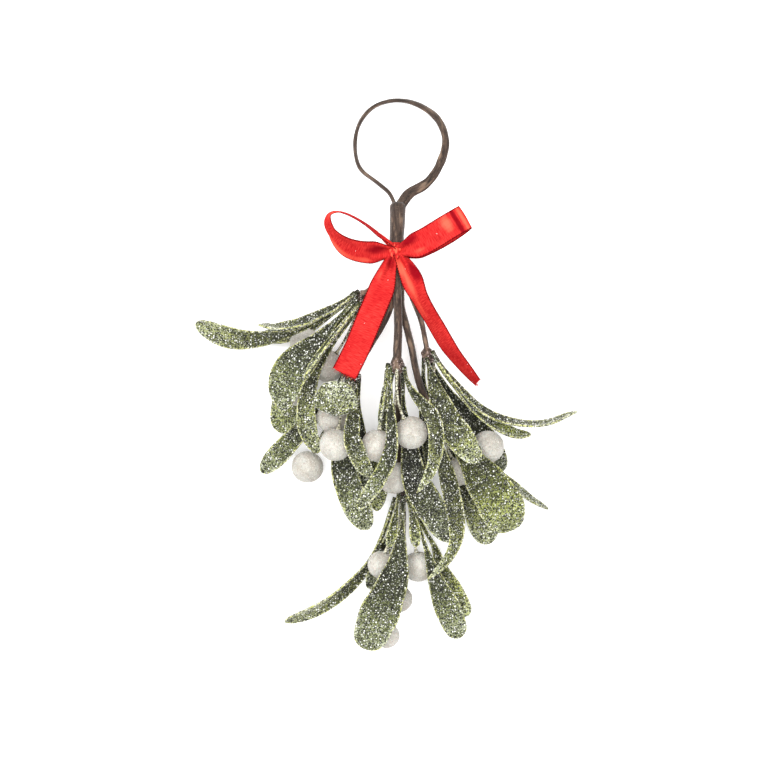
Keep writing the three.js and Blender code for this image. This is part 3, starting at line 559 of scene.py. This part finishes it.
def leaf(name, rng):
    """A frosted leaf on the CAD leaf's midrib: channelled, with beaded rims, a midrib and a wavy margin."""
    rings, tip = lofted(name, LEAF_RING)
    wide = rings[WIDE_RING]
    middle = int(np.argmin([np.linalg.norm(wide[i] - wide[i + 3]) for i in range(3)]))
    rise = np.delete(wide, (middle, middle + 3), 0).mean(0) - (wide[middle] + wide[middle + 3]) / 2
    if (wide[middle] - wide[middle + 3]) @ rise < 0:
        middle += 3
    rings = np.roll(rings, 1 - middle, axis=1)
    centre = np.vstack([(rings[:, 1] + rings[:, 4]) / 2, tip])
    face = unit(rings[:, 1] - rings[:, 4])
    half = np.linalg.norm(rings[:, 2] + rings[:, 3] - rings[:, 0] - rings[:, 5], axis=1) / 4
    lengths = chord_lengths(centre)
    knots = lengths / lengths[-1]
    stalk_half = half[0]

    swing = np.linspace(0, np.pi / 2, TIP_ROWS)
    along = np.concatenate([np.linspace(-LEAF_SINK, TIP_FROM, LEAF_ROWS - TIP_ROWS + 1)[:-1],
                            TIP_FROM + (1 - TIP_FROM) * np.sin(swing)])[:-1]
    line = spline(knots, centre, np.clip(along, 0, 1))
    way = unit(np.gradient(line, axis=0))
    line[0] -= way[1] * LEAF_SINK * lengths[-1]
    normal = spline(knots[:-1], face, np.clip(along, 0, knots[-2]))
    side = unit(np.cross(way, normal))
    normal = unit(np.cross(side, way))

    phase = rng.uniform(0, 2 * np.pi, 4)
    waves = rng.uniform(1.5, 2.8)
    margin = 1 + 0.028 * np.sin(2 * np.pi * waves * 1.7 * along + phase[0])
    half_squared = spline(knots, np.append(half, 0) ** 2, np.clip(along, 0, 1))
    h = np.maximum(np.sqrt(np.maximum(half_squared, 0)) * margin, NARROWEST)
    thick = (1.25 - 0.45 * smoothstep(0, 0.35, along)) * MM * (1 - 0.35 * smoothstep(0.93, 1, along))

    top = np.sin(np.pi / 2 * np.linspace(-1, 1, LEAF_TOP_POINTS))
    under = np.sin(np.pi / 2 * np.linspace(1, -1, LEAF_UNDER_POINTS))
    u = np.concatenate([top, [1], under, [-1]])
    is_edge = np.zeros(len(u), bool)
    is_edge[[LEAF_TOP_POINTS, -1]] = True
    is_top = np.zeros(len(u), bool)
    is_top[:LEAF_TOP_POINTS] = True
    inset = np.minimum(0.35, 0.22 * MM / h)[:, None]
    across = np.where(is_edge, u, u * (1 - inset))
    x = across * h[:, None]
    a = np.abs(across)
    t = along[:, None]

    cup = 0.22 * np.maximum(h - stalk_half, 0)[:, None] * a**1.5
    channel = 0.30 * h[:, None] * (1 - smoothstep(0.35, 0.8, t)) * smoothstep(0.02, 0.15, t)
    cup = cup - channel * (1 - a**2) * 0.75 + channel * 0.2
    ripple = 0.055 * h[:, None] * a**2 * np.sin(2 * np.pi * waves * t + phase[1] + (across > 0) * phase[2])
    ripple *= smoothstep(0.15, 0.4, t)
    bead = BEAD_HEIGHT * np.exp(-(((1 - a) * h[:, None] / BEAD_WIDTH) ** 2)) * smoothstep(0.02, 0.1, t)
    groove = GROOVE_DEPTH * np.exp(-((x / (0.45 * MM)) ** 2)) * smoothstep(0.04, 0.15, t)
    groove = groove * (1 - smoothstep(0.7, 0.92, t))
    veins = VEIN_DEPTH * np.cos(x / h[:, None] * 3 * np.pi + 0.6 * np.sin(9 * t + phase[3]))
    keel = KEEL_DEPTH * np.exp(-((x / (0.6 * MM)) ** 2)) * (1 - smoothstep(0.75, 0.95, t))
    top_z = cup + ripple + bead - groove + veins * (1 - bead / BEAD_HEIGHT) + thick[:, None] / 2
    under_z = cup + ripple - keel - thick[:, None] / 2 * (1 - 0.3 * a**4)
    edge_z = cup + ripple + bead * 0.35
    z = np.where(is_edge, edge_z, np.where(is_top, top_z, under_z))
    points = line[:, None] + side[:, None] * x[..., None] + normal[:, None] * z[..., None]

    rows, sides = points.shape[:2]
    flat = np.vstack([points.reshape(-1, 3), line[0], tip + normal[-1] * cup[-1].mean()])
    faces = loft_faces(rows, sides)
    bead_mask = np.exp(-(((1 - a) * h[:, None] / (0.95 * MM)) ** 2)) * smoothstep(0.0, 0.08, t)
    rim = np.where(is_top | is_edge, bead_mask, 0.55 * bead_mask + 0.12)
    rim = np.append((rim * (0.85 + 0.15 * smoothstep(0.1, 0.4, t))).ravel(), [0.1, 0.8])
    # Frost thickens towards the tip, on the rims and underneath; the same value also carries the painted
    # shade near the foot.
    frost = smoothstep(0.45, 0.95, t) * 0.75 + 0.25 * bead_mask + 0.25 * ~is_top
    frost = np.append(np.clip(frost, 0, 1).ravel(), [0.3, 1])
    tint = rng.uniform(-1, 1)

    skin = Skin()
    skin.add(flat, faces, 0, True, rim=rim, frost=frost, tint=tint)
    _, _, area = sample_skin(flat, faces, 1, rng)
    count = int(area / MM**2 * LEAF_GRAINS_PER_MM2)
    sprinkle(skin, flat, faces, count, LEAF_GRAIN_SIZES, (1.2, 1.0), rng, 0.75 + 0.6 * frost)
    settle(skin, name, "_frosted", [LEAF_SHADERS[slots[name]], FROST])


SEED = 7
rng = np.random.default_rng(SEED)
for name in sorted(n for n in nodes if n.startswith("leaf_")):
    leaf(name, rng)

# ---- Berries -----------------------------------------------------------------------------------------

BERRY_RING = 10  # corners of a CAD berry's ring
STALK_RINGS = 4  # its rings that belong to the stalk
BALL_SUBDIVISIONS = 4
BALL_SHARE = 0.985  # the ball's mean radius, to leave room for its lumps and beads
BEADS_PER_MM2 = 1.6
BEAD_SIZES = (0.09, 0.2)
STALK_SIDES = 10
STALK_ROWS = 26
STALK_BEADS_PER_MM = 3.5
STALK_BEAD_SIZES = (0.09, 0.18)
BEAD_TONES = (1.6, 1.0)


def unit_ball():
    ball = bmesh.new()
    bmesh.ops.create_icosphere(ball, subdivisions=BALL_SUBDIVISIONS, radius=1)
    points = np.array([v.co for v in ball.verts])
    faces = [tuple(v.index for v in f.verts) for f in ball.faces]
    ball.free()
    return points, faces


BALL_POINTS, BALL_FACES = unit_ball()


def lumps(directions, rng, count, low=2.0, high=7.0):
    """Smooth random relief between about -1 and 1 over directions."""
    waves = unit(rng.normal(size=(count, 3))) * rng.uniform(low, high, (count, 1))
    return np.sin(directions @ waves.T + rng.uniform(0, 2 * np.pi, count)).sum(1) / math.sqrt(count)


def berry(name, rng):
    """A rough pearl ball on a thin frosted stalk."""
    rings, pole = lofted(name, BERRY_RING)
    shell = np.vstack([rings[STALK_RINGS:].reshape(-1, 3), pole])
    fit = np.linalg.lstsq(np.c_[2 * shell, np.ones(len(shell))], (shell**2).sum(1), rcond=None)[0]
    centre = fit[:3]
    radius = math.sqrt(fit[3] + centre @ centre)
    axis = unit(pole - centre)

    tint = rng.uniform(-1, 1)
    seat = 1 - 0.16 * np.exp(-(((BALL_POINTS @ -axis - 1) / 0.035) ** 2))
    relief = 1 + 0.010 * lumps(BALL_POINTS, rng, 6) + 0.006 * lumps(BALL_POINTS, rng, 24, 14, 34)
    ball = centre + BALL_POINTS * (radius * BALL_SHARE * seat * relief)[:, None]
    skin = Skin()
    skin.add(ball, BALL_FACES, 0, True, tint=tint)
    count = int(4 * math.pi * (radius / MM) ** 2 * BEADS_PER_MM2)
    sprinkle(skin, ball, BALL_FACES, count, BEAD_SIZES, BEAD_TONES, rng)

    middle = np.vstack([rings[:STALK_RINGS].mean(1), centre - axis * radius * 0.9])
    knots = chord_lengths(middle)
    at_length = np.linspace(0, knots[-1], STALK_ROWS)
    line = spline(knots, middle, at_length)
    way = unit(np.gradient(line, axis=0))
    upright = np.where(np.abs(way[:, 2:]) > 0.9, (1.0, 0, 0), (0, 0, 1.0))
    side = unit(np.cross(way, upright))
    normal = np.cross(side, way)
    wobble = 1 + 0.12 * np.sin(at_length / MM * 2.1 + rng.uniform(0, 6)) * np.sin(at_length / MM * 0.7)
    r = (0.52 + 0.55 * smoothstep(knots[-1] - 1.6 * MM, knots[-1], at_length)) * MM * wobble
    angle = np.linspace(0, 2 * np.pi, STALK_SIDES, endpoint=False)
    tube = line[:, None] + (normal[:, None] * np.cos(angle)[:, None] + side[:, None]
                            * np.sin(angle)[:, None]) * r[:, None, None]
    flat = np.vstack([tube.reshape(-1, 3), line[0], line[-1]])
    faces = [f[::-1] for f in loft_faces(STALK_ROWS, STALK_SIDES)]
    skin.add(flat, faces, 2, True, tint=tint, rim=0.4, frost=0.9)
    count = int(STALK_BEADS_PER_MM * knots[-1] / MM)
    sprinkle(skin, flat, faces, count, STALK_BEAD_SIZES, BEAD_TONES, rng)
    settle(skin, name, "_pearl", [BERRY, BEADS, STALK])


for name in sorted(n for n in nodes if n.startswith("berry_")):
    berry(name, rng)

# ---- Taped wires -------------------------------------------------------------------------------------

WIRE_RING = 8  # corners of a ring of a CAD stem and of the hanging loop
BUNDLE_RING = 12
TAPE_SIDES = 24
BUNDLE_SIDES = 36
TAPE_STEP = 0.4 * MM
HANGER_STEP = 0.7 * MM
HUB_GRAINS_PER_MM = 90  # of the hub's radius
HUB_GRAIN_SIZES = (0.14, 0.36)


def extended(centres, at_foot, at_tip):
    """The centre line with a straight stretch added at each end."""
    foot = centres[0] - unit(centres[1] - centres[0]) * at_foot
    tip = centres[-1] + unit(centres[-1] - centres[-2]) * at_tip
    return np.vstack([foot, centres, tip])


def tape_tube(skin, centres, facing, half_side, half_normal, rng, step, creases=0.07 * MM, square=2.0,
              lap_pitch=0.0, lumpy=None, sides=TAPE_SIDES):
    """A tube under crepe tape along the centres. The half sizes, and the share of lumps, are functions of
    the length in metres."""
    knots = chord_lengths(centres)
    rows = max(8, int(knots[-1] / step))
    length = np.linspace(0, knots[-1], rows)
    line = spline(knots, centres, length)
    way = unit(np.gradient(line, axis=0))
    normal = spline(knots, facing, length)
    side = unit(np.cross(way, normal))
    normal = np.cross(side, way)
    angle = np.linspace(0, 2 * np.pi, sides, endpoint=False)[None]
    s = length[:, None] / MM
    relief = np.zeros((rows, sides))
    for turns in (3, 5, 7, 8, 11):
        drift, phase = rng.uniform(-0.22, 0.22), rng.uniform(0, 2 * np.pi)
        fade = 0.6 + 0.4 * np.sin(rng.uniform(0.15, 0.5) * s + rng.uniform(0, 6))
        relief += creases * fade * np.sin(turns * angle + drift * s + phase) / math.sqrt(turns / 3)
    lap = np.zeros((rows, sides))
    if lap_pitch:
        turn = (angle / (2 * np.pi) - length[:, None] / lap_pitch) % 1
        relief += 0.09 * MM * (1 - turn)
        lap = np.exp(-((np.minimum(turn, 1 - turn) / 0.035) ** 2))
    if lumpy is not None:
        share = lumpy(length)[:, None]
        for _ in range(7):
            n, m, phase = rng.integers(1, 6), rng.uniform(0.8, 3.2), rng.uniform(0, 2 * np.pi)
            relief += share * 0.16 * MM * np.sin(n * angle + m * s + phase)
    c, d = np.cos(angle), np.sin(angle)
    round_off = (np.abs(c) ** square + np.abs(d) ** square) ** (-1 / square)
    out_normal = c * round_off * (half_normal(length)[:, None] + relief)
    out_side = d * round_off * (half_side(length)[:, None] + relief)
    points = line[:, None] + normal[:, None] * out_normal[..., None] + side[:, None] * out_side[..., None]
    flat = np.vstack([points.reshape(-1, 3), line[0], line[-1]])
    around = angle * half_side(length).mean()
    wrap = np.stack([np.broadcast_to(around, relief.shape), np.broadcast_to(length[:, None], relief.shape),
                     0 * relief], -1).reshape(-1, 3)
    wrap = np.vstack([wrap, [0, 0, 0], [0, knots[-1], 0]])
    lap = np.append(lap.ravel(), [0, 0])
    faces = [f[::-1] for f in loft_faces(rows, sides)]
    skin.add(flat, faces, 0, True, wrap=wrap, lap=lap)
    return flat, faces


def stem(name, rng):
    """A sprig's taped stem, with the sugared hub that its leaves grow from."""
    rings, _, _ = rings_of(name, WIRE_RING)
    radii = np.linalg.norm(rings - rings.mean(1, keepdims=True), axis=2).mean(1)
    if radii[0] > radii[-1]:
        rings, radii = rings[::-1, ::-1], radii[::-1]
    thin, hub = radii[0], radii[-1]
    centres = extended(rings.mean(1), 3.5 * MM, 0.5 * MM)
    facing = unit(rings[:, 0] - rings.mean(1))
    facing = np.vstack([facing[0], facing, facing[-1]])
    full = chord_lengths(centres)[-1]

    def radius(length):
        swell = smoothstep(full - 6.6 * MM, full - 4.2 * MM, length)
        close = 1 - 0.45 * smoothstep(full - 1.2 * MM, full, length)
        return (thin * 1.05 + (hub - thin) * swell) * close

    skin = Skin()
    flat, faces = tape_tube(skin, centres, facing, radius, radius, rng, TAPE_STEP, lap_pitch=11 * MM,
                            lumpy=lambda s: smoothstep(full - 6.5 * MM, full - 4.5 * MM, s))
    down_from_end = np.linalg.norm(flat - centres[-1], axis=1)
    near = 1 - smoothstep(4.8 * MM, 7.0 * MM, down_from_end) + 0.01
    count = int(HUB_GRAINS_PER_MM * hub / MM)
    sprinkle(skin, flat, faces, count, HUB_GRAIN_SIZES, (1.0, 1.4), rng, near)
    settle(skin, name, "_taped", [TAPE, HUB_GRAINS])


for name in sorted(n for n in nodes if n.startswith("stem_") and n != "stem_bundle"):
    stem(name, rng)

bundle_rings, bundle_foot, bundle_tip = rings_of("stem_bundle", BUNDLE_RING)
if bundle_foot[1] < bundle_tip[1]:
    bundle_rings, bundle_foot = bundle_rings[::-1, ::-1], bundle_tip
bundle_line = bundle_rings.mean(1)
bundle_facing = unit(bundle_rings[:, 0] - bundle_line)


def bundle(rng):
    """The taped main stem, drawn in at both ends where the wires enter it."""
    centres = extended(bundle_line, 1.6 * MM, 1.6 * MM)
    facing = np.vstack([bundle_facing[0], bundle_facing, bundle_facing[-1]])
    full = chord_lengths(centres)[-1]

    def radius(length):
        body = (3.05 - 0.4 * smoothstep(0, full * 0.6, length)) * MM
        ends = smoothstep(-1.2 * MM, 1.4 * MM, length) * smoothstep(full + 1.2 * MM, full - 2.2 * MM, length)
        return body * (0.45 + 0.55 * ends)

    skin = Skin()
    tape_tube(skin, centres, facing, radius, radius, rng, TAPE_STEP, creases=0.11 * MM,
              lap_pitch=14 * MM, sides=BUNDLE_SIDES)
    settle(skin, "stem_bundle", "_taped", [TAPE])


bundle(rng)


def hanger(rng):
    """The hanging loop: one wire under flat tape, its two legs run into the main stem."""
    rings, foot, tip = rings_of("hanger_loop", WIRE_RING)
    if foot[0] < tip[0]:
        rings = rings[::-1, ::-1]
    centres = rings.mean(1)
    sample = rings[len(rings) // 2]
    thin = int(np.argmin([np.linalg.norm(sample[i] - sample[i + 4]) for i in range(4)]))
    facing = unit(rings[:, thin] - rings[:, thin - 4])
    half_thin = np.linalg.norm(sample[thin] - sample[thin - 4]) / 2
    half_wide = np.linalg.norm(rings[:, thin - 2] - rings[:, (thin + 2) % 8], axis=1) / 2
    centres = extended(centres, 3.2 * MM, 3.2 * MM)
    facing = np.vstack([facing[0], facing, facing[-1]])
    knots = chord_lengths(centres)
    full = knots[-1]
    phase = rng.uniform(0, 2 * np.pi, 3)

    def wide(length):
        at_foot = 0.3 * MM * (1 - smoothstep(4 * MM, 10 * MM, length))
        at_tip = -0.5 * MM * smoothstep(full - 12 * MM, full - 3 * MM, length)
        uneven = (1 + 0.05 * np.sin(length / MM * 0.35 + phase[0])
                  + 0.03 * np.sin(length / MM * 0.9 + phase[1]))
        return np.interp(length, knots[1:-1], half_wide) * 0.98 * uneven + at_foot + at_tip

    def deep(length):
        return half_thin * (0.98 + 0.06 * np.sin(length / MM * 0.5 + phase[2]))

    skin = Skin()
    tape_tube(skin, centres, facing, wide, deep, rng, HANGER_STEP, creases=0.06 * MM, square=2.6)
    settle(skin, "hanger_loop", "_taped", [TAPE])


hanger(rng)

# ---- Ribbon bow --------------------------------------------------------------------------------------

RIBBON_WIDTH = 10 * MM
RIBBON_THICKNESS = 0.24 * MM
RIBBON_PINCHED = 4.6 * MM
LOOP_PINCH = 9 * MM  # from the knot to a loop's full width
TAIL_PINCH = 16 * MM  # and to a tail's
RIBBON_STEP = 0.4 * MM
RIBBON_POINTS = 21
ROUTE_SAMPLES = 600
PLEATS = 1.5  # waves across the ribbon where it is gathered
END_THREADS = 26
STRIP_SPECKS = 4
BUNDLE_TOP = np.array((5.5, 69.4, 16.6)) * MM  # of the main stem, in the route's own coordinates
KNOT_CENTRE = np.array((4.4, 51.4, 25)) * MM
KNOT_HALF = np.array((2.5, 3, 2.4)) * MM
ribbon_shift = bundle_foot - BUNDLE_TOP

# Where the ribbon runs, in mm, and the way it faces there.
LEFT_LOOP = [
    ((4, 51.3, 25.6), (0, -0.3, 1)), ((-3, 51, 27.5), (0, -0.6, 1)), ((-13.3, 52.3, 29.5), (-0.3, -0.9, 1)),
    ((-20, 58.5, 30), (-1, -0.6, 0.42)), ((-21.6, 64.6, 29.5), (-1, 0.3, 0.22)),
    ((-17.5, 66.6, 29), (-0.3, 1, 0.12)), ((-5.5, 60.4, 28), (0.6, 0.8, 0.18)),
    ((4, 52.2, 25.4), (0.6, 0.8, 0.3)),
]
RIGHT_LOOP = [
    ((5.4, 51.6, 26), (0, 0, 1)), ((13, 54, 30), (-0.2, 0, 1)), ((20, 57.6, 31.4), (0, 0, 1)),
    ((29.5, 63.4, 30.4), (0.4, 0.2, 1)), ((31.3, 64.5, 28.8), (1, 0.6, 0)), ((29, 62.6, 27.3), (0, 0, -1)),
    ((18, 55.6, 26.3), (0, 0, -1)), ((5.4, 51, 24.6), (0, 0, -1)),
]
LEFT_TAIL = [
    ((3.8, 50.5, 25.4), (0, 0.2, 1)), ((1.6, 44.5, 26.3), (0, 0.1, 1)), ((-2, 34.3, 27.8), (0.1, 0, 1)),
    ((-9, 17.2, 30), (0, 0, 1)), ((-15.2, 3.9, 31), (0, 0, 1)),
]
RIGHT_TAIL = [
    ((5.7, 50.6, 25.7), (0.1, 0.2, 1)), ((8.6, 44.8, 28), (-0.3, -0.1, 1)),
    ((13.8, 33.8, 29.5), (-0.8, -0.6, 0.8)), ((24.8, 14.8, 31), (-0.8, -0.6, 0.66)),
    ((36, 0.6, 32.5), (-0.8, -0.6, 0.28)),
]

# Painted highlight (+) and painted shade (-) at the folds: mm from the knot, place across (-1 to 1), their
# reach in both, strength.
LEFT_LOOP_FOLD_SHADING = [
    (7, 0.3, 5, 0.5, -0.9), (11, -0.7, 3, 0.3, 0.5), (22, -0.8, 8, 0.4, 0.8), (20, 0.6, 7, 0.5, -0.4),
    (36, 0.6, 5, 0.6, 0.6), (50, 0, 8, 1, -0.5),
]
RIGHT_LOOP_FOLD_SHADING = [
    (6, -0.6, 5, 0.5, -0.9), (9, 0.5, 3, 0.3, 0.5), (17, 0.3, 4, 0.6, -0.35), (22.5, -0.2, 2.5, 0.8, 0.9),
    (26.5, 0, 1.2, 2, -1.1), (29, 0, 1.1, 2, 0.9),
]
LEFT_TAIL_FOLD_SHADING = [(4, 0, 3.5, 0.8, -0.7), (9, 0.6, 4, 0.3, 0.5), (20, -0.8, 14, 0.3, -0.3)]
RIGHT_TAIL_FOLD_SHADING = [
    (5, 0.7, 4, 0.5, 0.9), (13, 0.3, 6, 0.4, 0.9), (10, -0.6, 4.5, 0.45, -1.1), (24, 0.5, 5, 0.4, 0.5),
    (45, -0.2, 9, 0.7, -0.4),
]


def ribbon_strip(skin, stops, closed, fold_shading, rng):
    """A strip of ribbon along the stops, gathered into pleats where it enters the knot."""
    at = np.array([stop[0] for stop in stops]) * MM + ribbon_shift
    face = unit(np.array([stop[1] for stop in stops], float))
    knots = np.concatenate([[0], np.cumsum(np.sqrt(np.linalg.norm(np.diff(at, axis=0), axis=1)))])
    dense = np.linspace(0, knots[-1], ROUTE_SAMPLES)
    length = chord_lengths(spline(knots, at, dense))
    rows = int(length[-1] / RIBBON_STEP)
    where = np.interp(np.linspace(0, length[-1], rows), length, dense)
    s = np.linspace(0, length[-1], rows)
    line = spline(knots, at, where)
    way = unit(np.gradient(line, axis=0))
    normal = np.stack([np.interp(where, knots, face[:, i]) for i in range(3)], -1)
    side = unit(np.cross(way, normal))
    normal = np.cross(side, way)

    near = np.minimum(s, length[-1] - s) if closed else s
    opened = smoothstep(0, LOOP_PINCH if closed else TAIL_PINCH, near)
    width = RIBBON_PINCHED + (RIBBON_WIDTH - RIBBON_PINCHED) * opened
    slack = np.sqrt(np.maximum((RIBBON_WIDTH / width) ** 2 - 1, 0))
    u = np.linspace(-1, 1, RIBBON_POINTS)[None]
    pleat = (slack * width / (2 * np.pi * PLEATS))[:, None]
    phase = rng.uniform(0, 2 * np.pi, 4)
    lift = pleat * np.sin(np.pi * PLEATS * u + phase[0])
    mm = s[:, None] / MM
    soft = (0.16 * MM * np.sin(mm / 5.3 + phase[1]) * (0.4 + 0.6 * u)
            + 0.12 * MM * np.sin(mm / 3.1 + phase[2] + u))
    lift = lift + soft * smoothstep(0, 0.006, near)[:, None] + 0.28 * MM * (1 - u**2)
    sway = 0.12 * MM * np.sin(mm / 4.2 + phase[3])
    scallop = 1 + 0.008 * np.sin(2 * np.pi * mm / 1.0) * (np.abs(u) > 0.97)
    x = u * width[:, None] / 2 * scallop + sway
    frayed = np.zeros((rows, RIBBON_POINTS))
    if not closed:
        frayed[-1] = 0.30 * MM * rng.uniform(-1, 1, RIBBON_POINTS)
    middle = (line[:, None] + side[:, None] * x[..., None] + normal[:, None] * lift[..., None]
              + way[:, None] * frayed[..., None])
    outward = unit(np.cross(np.gradient(middle, axis=0), np.gradient(middle, axis=1)))
    half = RIBBON_THICKNESS / 2
    loop = np.concatenate([middle + outward * half, (middle - outward * half)[:, ::-1]], axis=1)
    cloth = np.stack([np.broadcast_to(u * RIBBON_WIDTH / 2, lift.shape),
                      np.broadcast_to(s[:, None], lift.shape), 0 * lift], -1)
    cloth = np.concatenate([cloth, cloth[:, ::-1]], axis=1)
    # Painted highlight and painted shade at the folds, as spots along and across the strip.
    fold = sum(amount * np.exp(-(((mm - at_mm) / reach) ** 2) - ((u - place) / spread) ** 2)
               for at_mm, place, reach, spread, amount in fold_shading)
    fold = np.concatenate([fold, fold[:, ::-1]], axis=1)
    sides = loop.shape[1]
    flat = np.vstack([loop.reshape(-1, 3), middle[0, RIBBON_POINTS // 2], middle[-1, RIBBON_POINTS // 2]])
    cloth = np.vstack([cloth.reshape(-1, 3), [0, 0, 0], [0, s[-1], 0]])
    skin.add(flat, loft_faces(rows, sides), 0, True, cloth=cloth, fold=np.append(fold.ravel(), [0, 0]))
    return middle


def knot(skin):
    """The knot: a small pleated lump of ribbon, its pleats running down across it, with painted shade and
    highlights on them.
    """
    rows, sides = 40, 64
    polar = np.linspace(0.04, np.pi - 0.04, rows)[:, None]
    round_it = np.linspace(0, 2 * np.pi, sides, endpoint=False)[None]
    direction = np.stack([np.sin(polar) * np.sin(round_it), np.cos(polar) + 0 * round_it,
                          np.sin(polar) * np.cos(round_it)], -1)
    twist = 0.9 * np.cos(polar)
    relief = (0.10 * np.sin(6 * round_it + 3 * twist + 0.7) + 0.05 * np.sin(11 * round_it - 4 * twist)
              + 0.05 * np.sin(3 * round_it + 5 * polar)) * np.sin(polar) ** 0.5
    points = KNOT_CENTRE + ribbon_shift + direction * KNOT_HALF * (1 + relief)[..., None]
    ends = KNOT_CENTRE + ribbon_shift + np.array([(0, 1, 0), (0, -1, 0)]) * KNOT_HALF[1]
    cloth = np.stack([np.broadcast_to(round_it * 1.1 * MM - 3.4 * MM, relief.shape),
                      np.broadcast_to(polar * 3 * MM, relief.shape), 0 * relief], -1)
    cloth = np.vstack([cloth.reshape(-1, 3), [0, 0, 0], [0, 0, 0]])
    faces = [f[::-1] for f in loft_faces(rows, sides)]
    # Painted shade in the hollows between the pleats, painted highlight on their crests, and a painted
    # highlight band across the knot's front.
    knot_highlight = 0.9 * np.exp(-(((polar - 1.3) / 0.35) ** 2)) * (np.cos(round_it) > 0)
    fold = np.append((6 * relief + knot_highlight).ravel(), [0, 0])
    skin.add(np.vstack([points.reshape(-1, 3), ends]), faces, 0, True, cloth=cloth, fold=fold)


def turn_round_stem(skin):
    """The ribbon's pleated turn round the main stem, behind the knot."""
    share = 0.65
    knots = chord_lengths(bundle_line)
    centre = spline(knots, bundle_line, [share * knots[-1]])[0]
    axis = unit(spline(knots, bundle_line, [share * knots[-1] + MM])[0] - centre)
    right = unit(np.cross(axis, (0, 0, 1.0)))
    front = np.cross(right, axis)
    rows, half_width, radius, thickness = 96, 3.0 * MM, 3.75 * MM, 0.3 * MM
    turn = np.linspace(0, 2 * np.pi, rows, endpoint=False)
    across = np.linspace(-1, 1, 19)
    pleats = 0.28 * MM * np.sin(3.2 * np.pi * across[None] + 0.8 * np.sin(turn[:, None]))
    reach = radius + pleats + 0.08 * MM * np.sin(5 * turn[:, None])
    profile = []
    for layer, order in ((thickness / 2, 1), (-thickness / 2, -1)):
        r = (reach + layer)[:, ::order]
        a = across[::order]
        profile.append(centre + r[..., None] * (np.cos(turn)[:, None, None] * front
                                                + np.sin(turn)[:, None, None] * right)
                       + (a * half_width)[None, :, None] * axis)
    loop = np.concatenate(profile, axis=1)
    sides = loop.shape[1]
    faces = [(r * sides + i, r * sides + (i + 1) % sides, (r + 1) % rows * sides + (i + 1) % sides,
              (r + 1) % rows * sides + i) for r in range(rows) for i in range(sides)]
    cloth = np.stack([np.broadcast_to(np.concatenate([across, across[::-1]]) * 4 * MM, loop.shape[:2]),
                      np.broadcast_to(turn[:, None] * radius, loop.shape[:2]), np.zeros(loop.shape[:2])], -1)
    skin.add(loop.reshape(-1, 3), faces, 0, True, cloth=cloth.reshape(-1, 3))


def thread(skin, start, way, length, radius, rng, material):
    """A loose thread with a little curl."""
    rows, sides = 9, 5
    t = np.linspace(0, 1, rows)[:, None]
    bend = unit(rng.normal(size=3)) * length * 0.22
    line = start + way * length * t + bend * t**2
    run = unit(np.gradient(line, axis=0))
    side = unit(np.cross(run, (0.3, 0.2, 1.0)))
    normal = np.cross(side, run)
    angle = np.linspace(0, 2 * np.pi, sides, endpoint=False)
    tube = line[:, None] + radius * (normal[:, None] * np.cos(angle)[:, None]
                                     + side[:, None] * np.sin(angle)[:, None])
    flat = np.vstack([tube.reshape(-1, 3), line[0], line[-1]])
    skin.add(flat, [f[::-1] for f in loft_faces(rows, sides)], material, True, cloth=(0, 0, 0))


def bow(rng):
    """The ribbon in one piece, and the frayed threads and stray frost on it in another."""
    skin = Skin()
    strips = [ribbon_strip(skin, stops, closed, fold_shading, rng) for stops, closed, fold_shading in
              ((LEFT_LOOP, True, LEFT_LOOP_FOLD_SHADING), (RIGHT_LOOP, True, RIGHT_LOOP_FOLD_SHADING),
               (LEFT_TAIL, False, LEFT_TAIL_FOLD_SHADING), (RIGHT_TAIL, False, RIGHT_TAIL_FOLD_SHADING))]
    knot(skin)
    turn_round_stem(skin)
    ribbon = skin.object("ribbon_bow_satin", [SATIN])
    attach(ribbon, "root")
    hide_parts("ribbon_bow")

    loose = Skin()
    for middle in strips[2:]:
        end, before = middle[-1], middle[-2]
        way = unit((end - before).mean(0))
        for _ in range(END_THREADS):
            share = rng.uniform(0, len(end) - 1.001)
            i = int(share)
            start = end[i] + (end[i + 1] - end[i]) * (share - i) - way * 0.3 * MM
            thread(loose, start, unit(way + 0.25 * rng.normal(size=3)), rng.uniform(0.6, 1.5) * MM, 0.05 * MM,
                   rng, 0)
    long_end = strips[3][-1]
    thread(loose, long_end[-2], unit(np.array((0.45, -1.0, -0.25))), 5.2 * MM, 0.06 * MM, rng, 1)
    for middle in strips:
        spots = middle[rng.integers(10, len(middle) - 4, STRIP_SPECKS),
                       rng.integers(2, RIBBON_POINTS - 2, STRIP_SPECKS)]
        corners, faces = grains(spots + (0, 0, 0.3 * MM), np.tile((0, 0, 1.0), (len(spots), 1)),
                                rng.uniform(0.15, 0.24, len(spots)) * MM, rng)
        loose.add(corners, faces, 2, False, tone=1.0)
    threads = loose.object("ribbon_threads", [SATIN, PINK_THREAD, FROST])
    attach(threads, "root")
    return ribbon, threads


ribbon, threads = bow(rng)
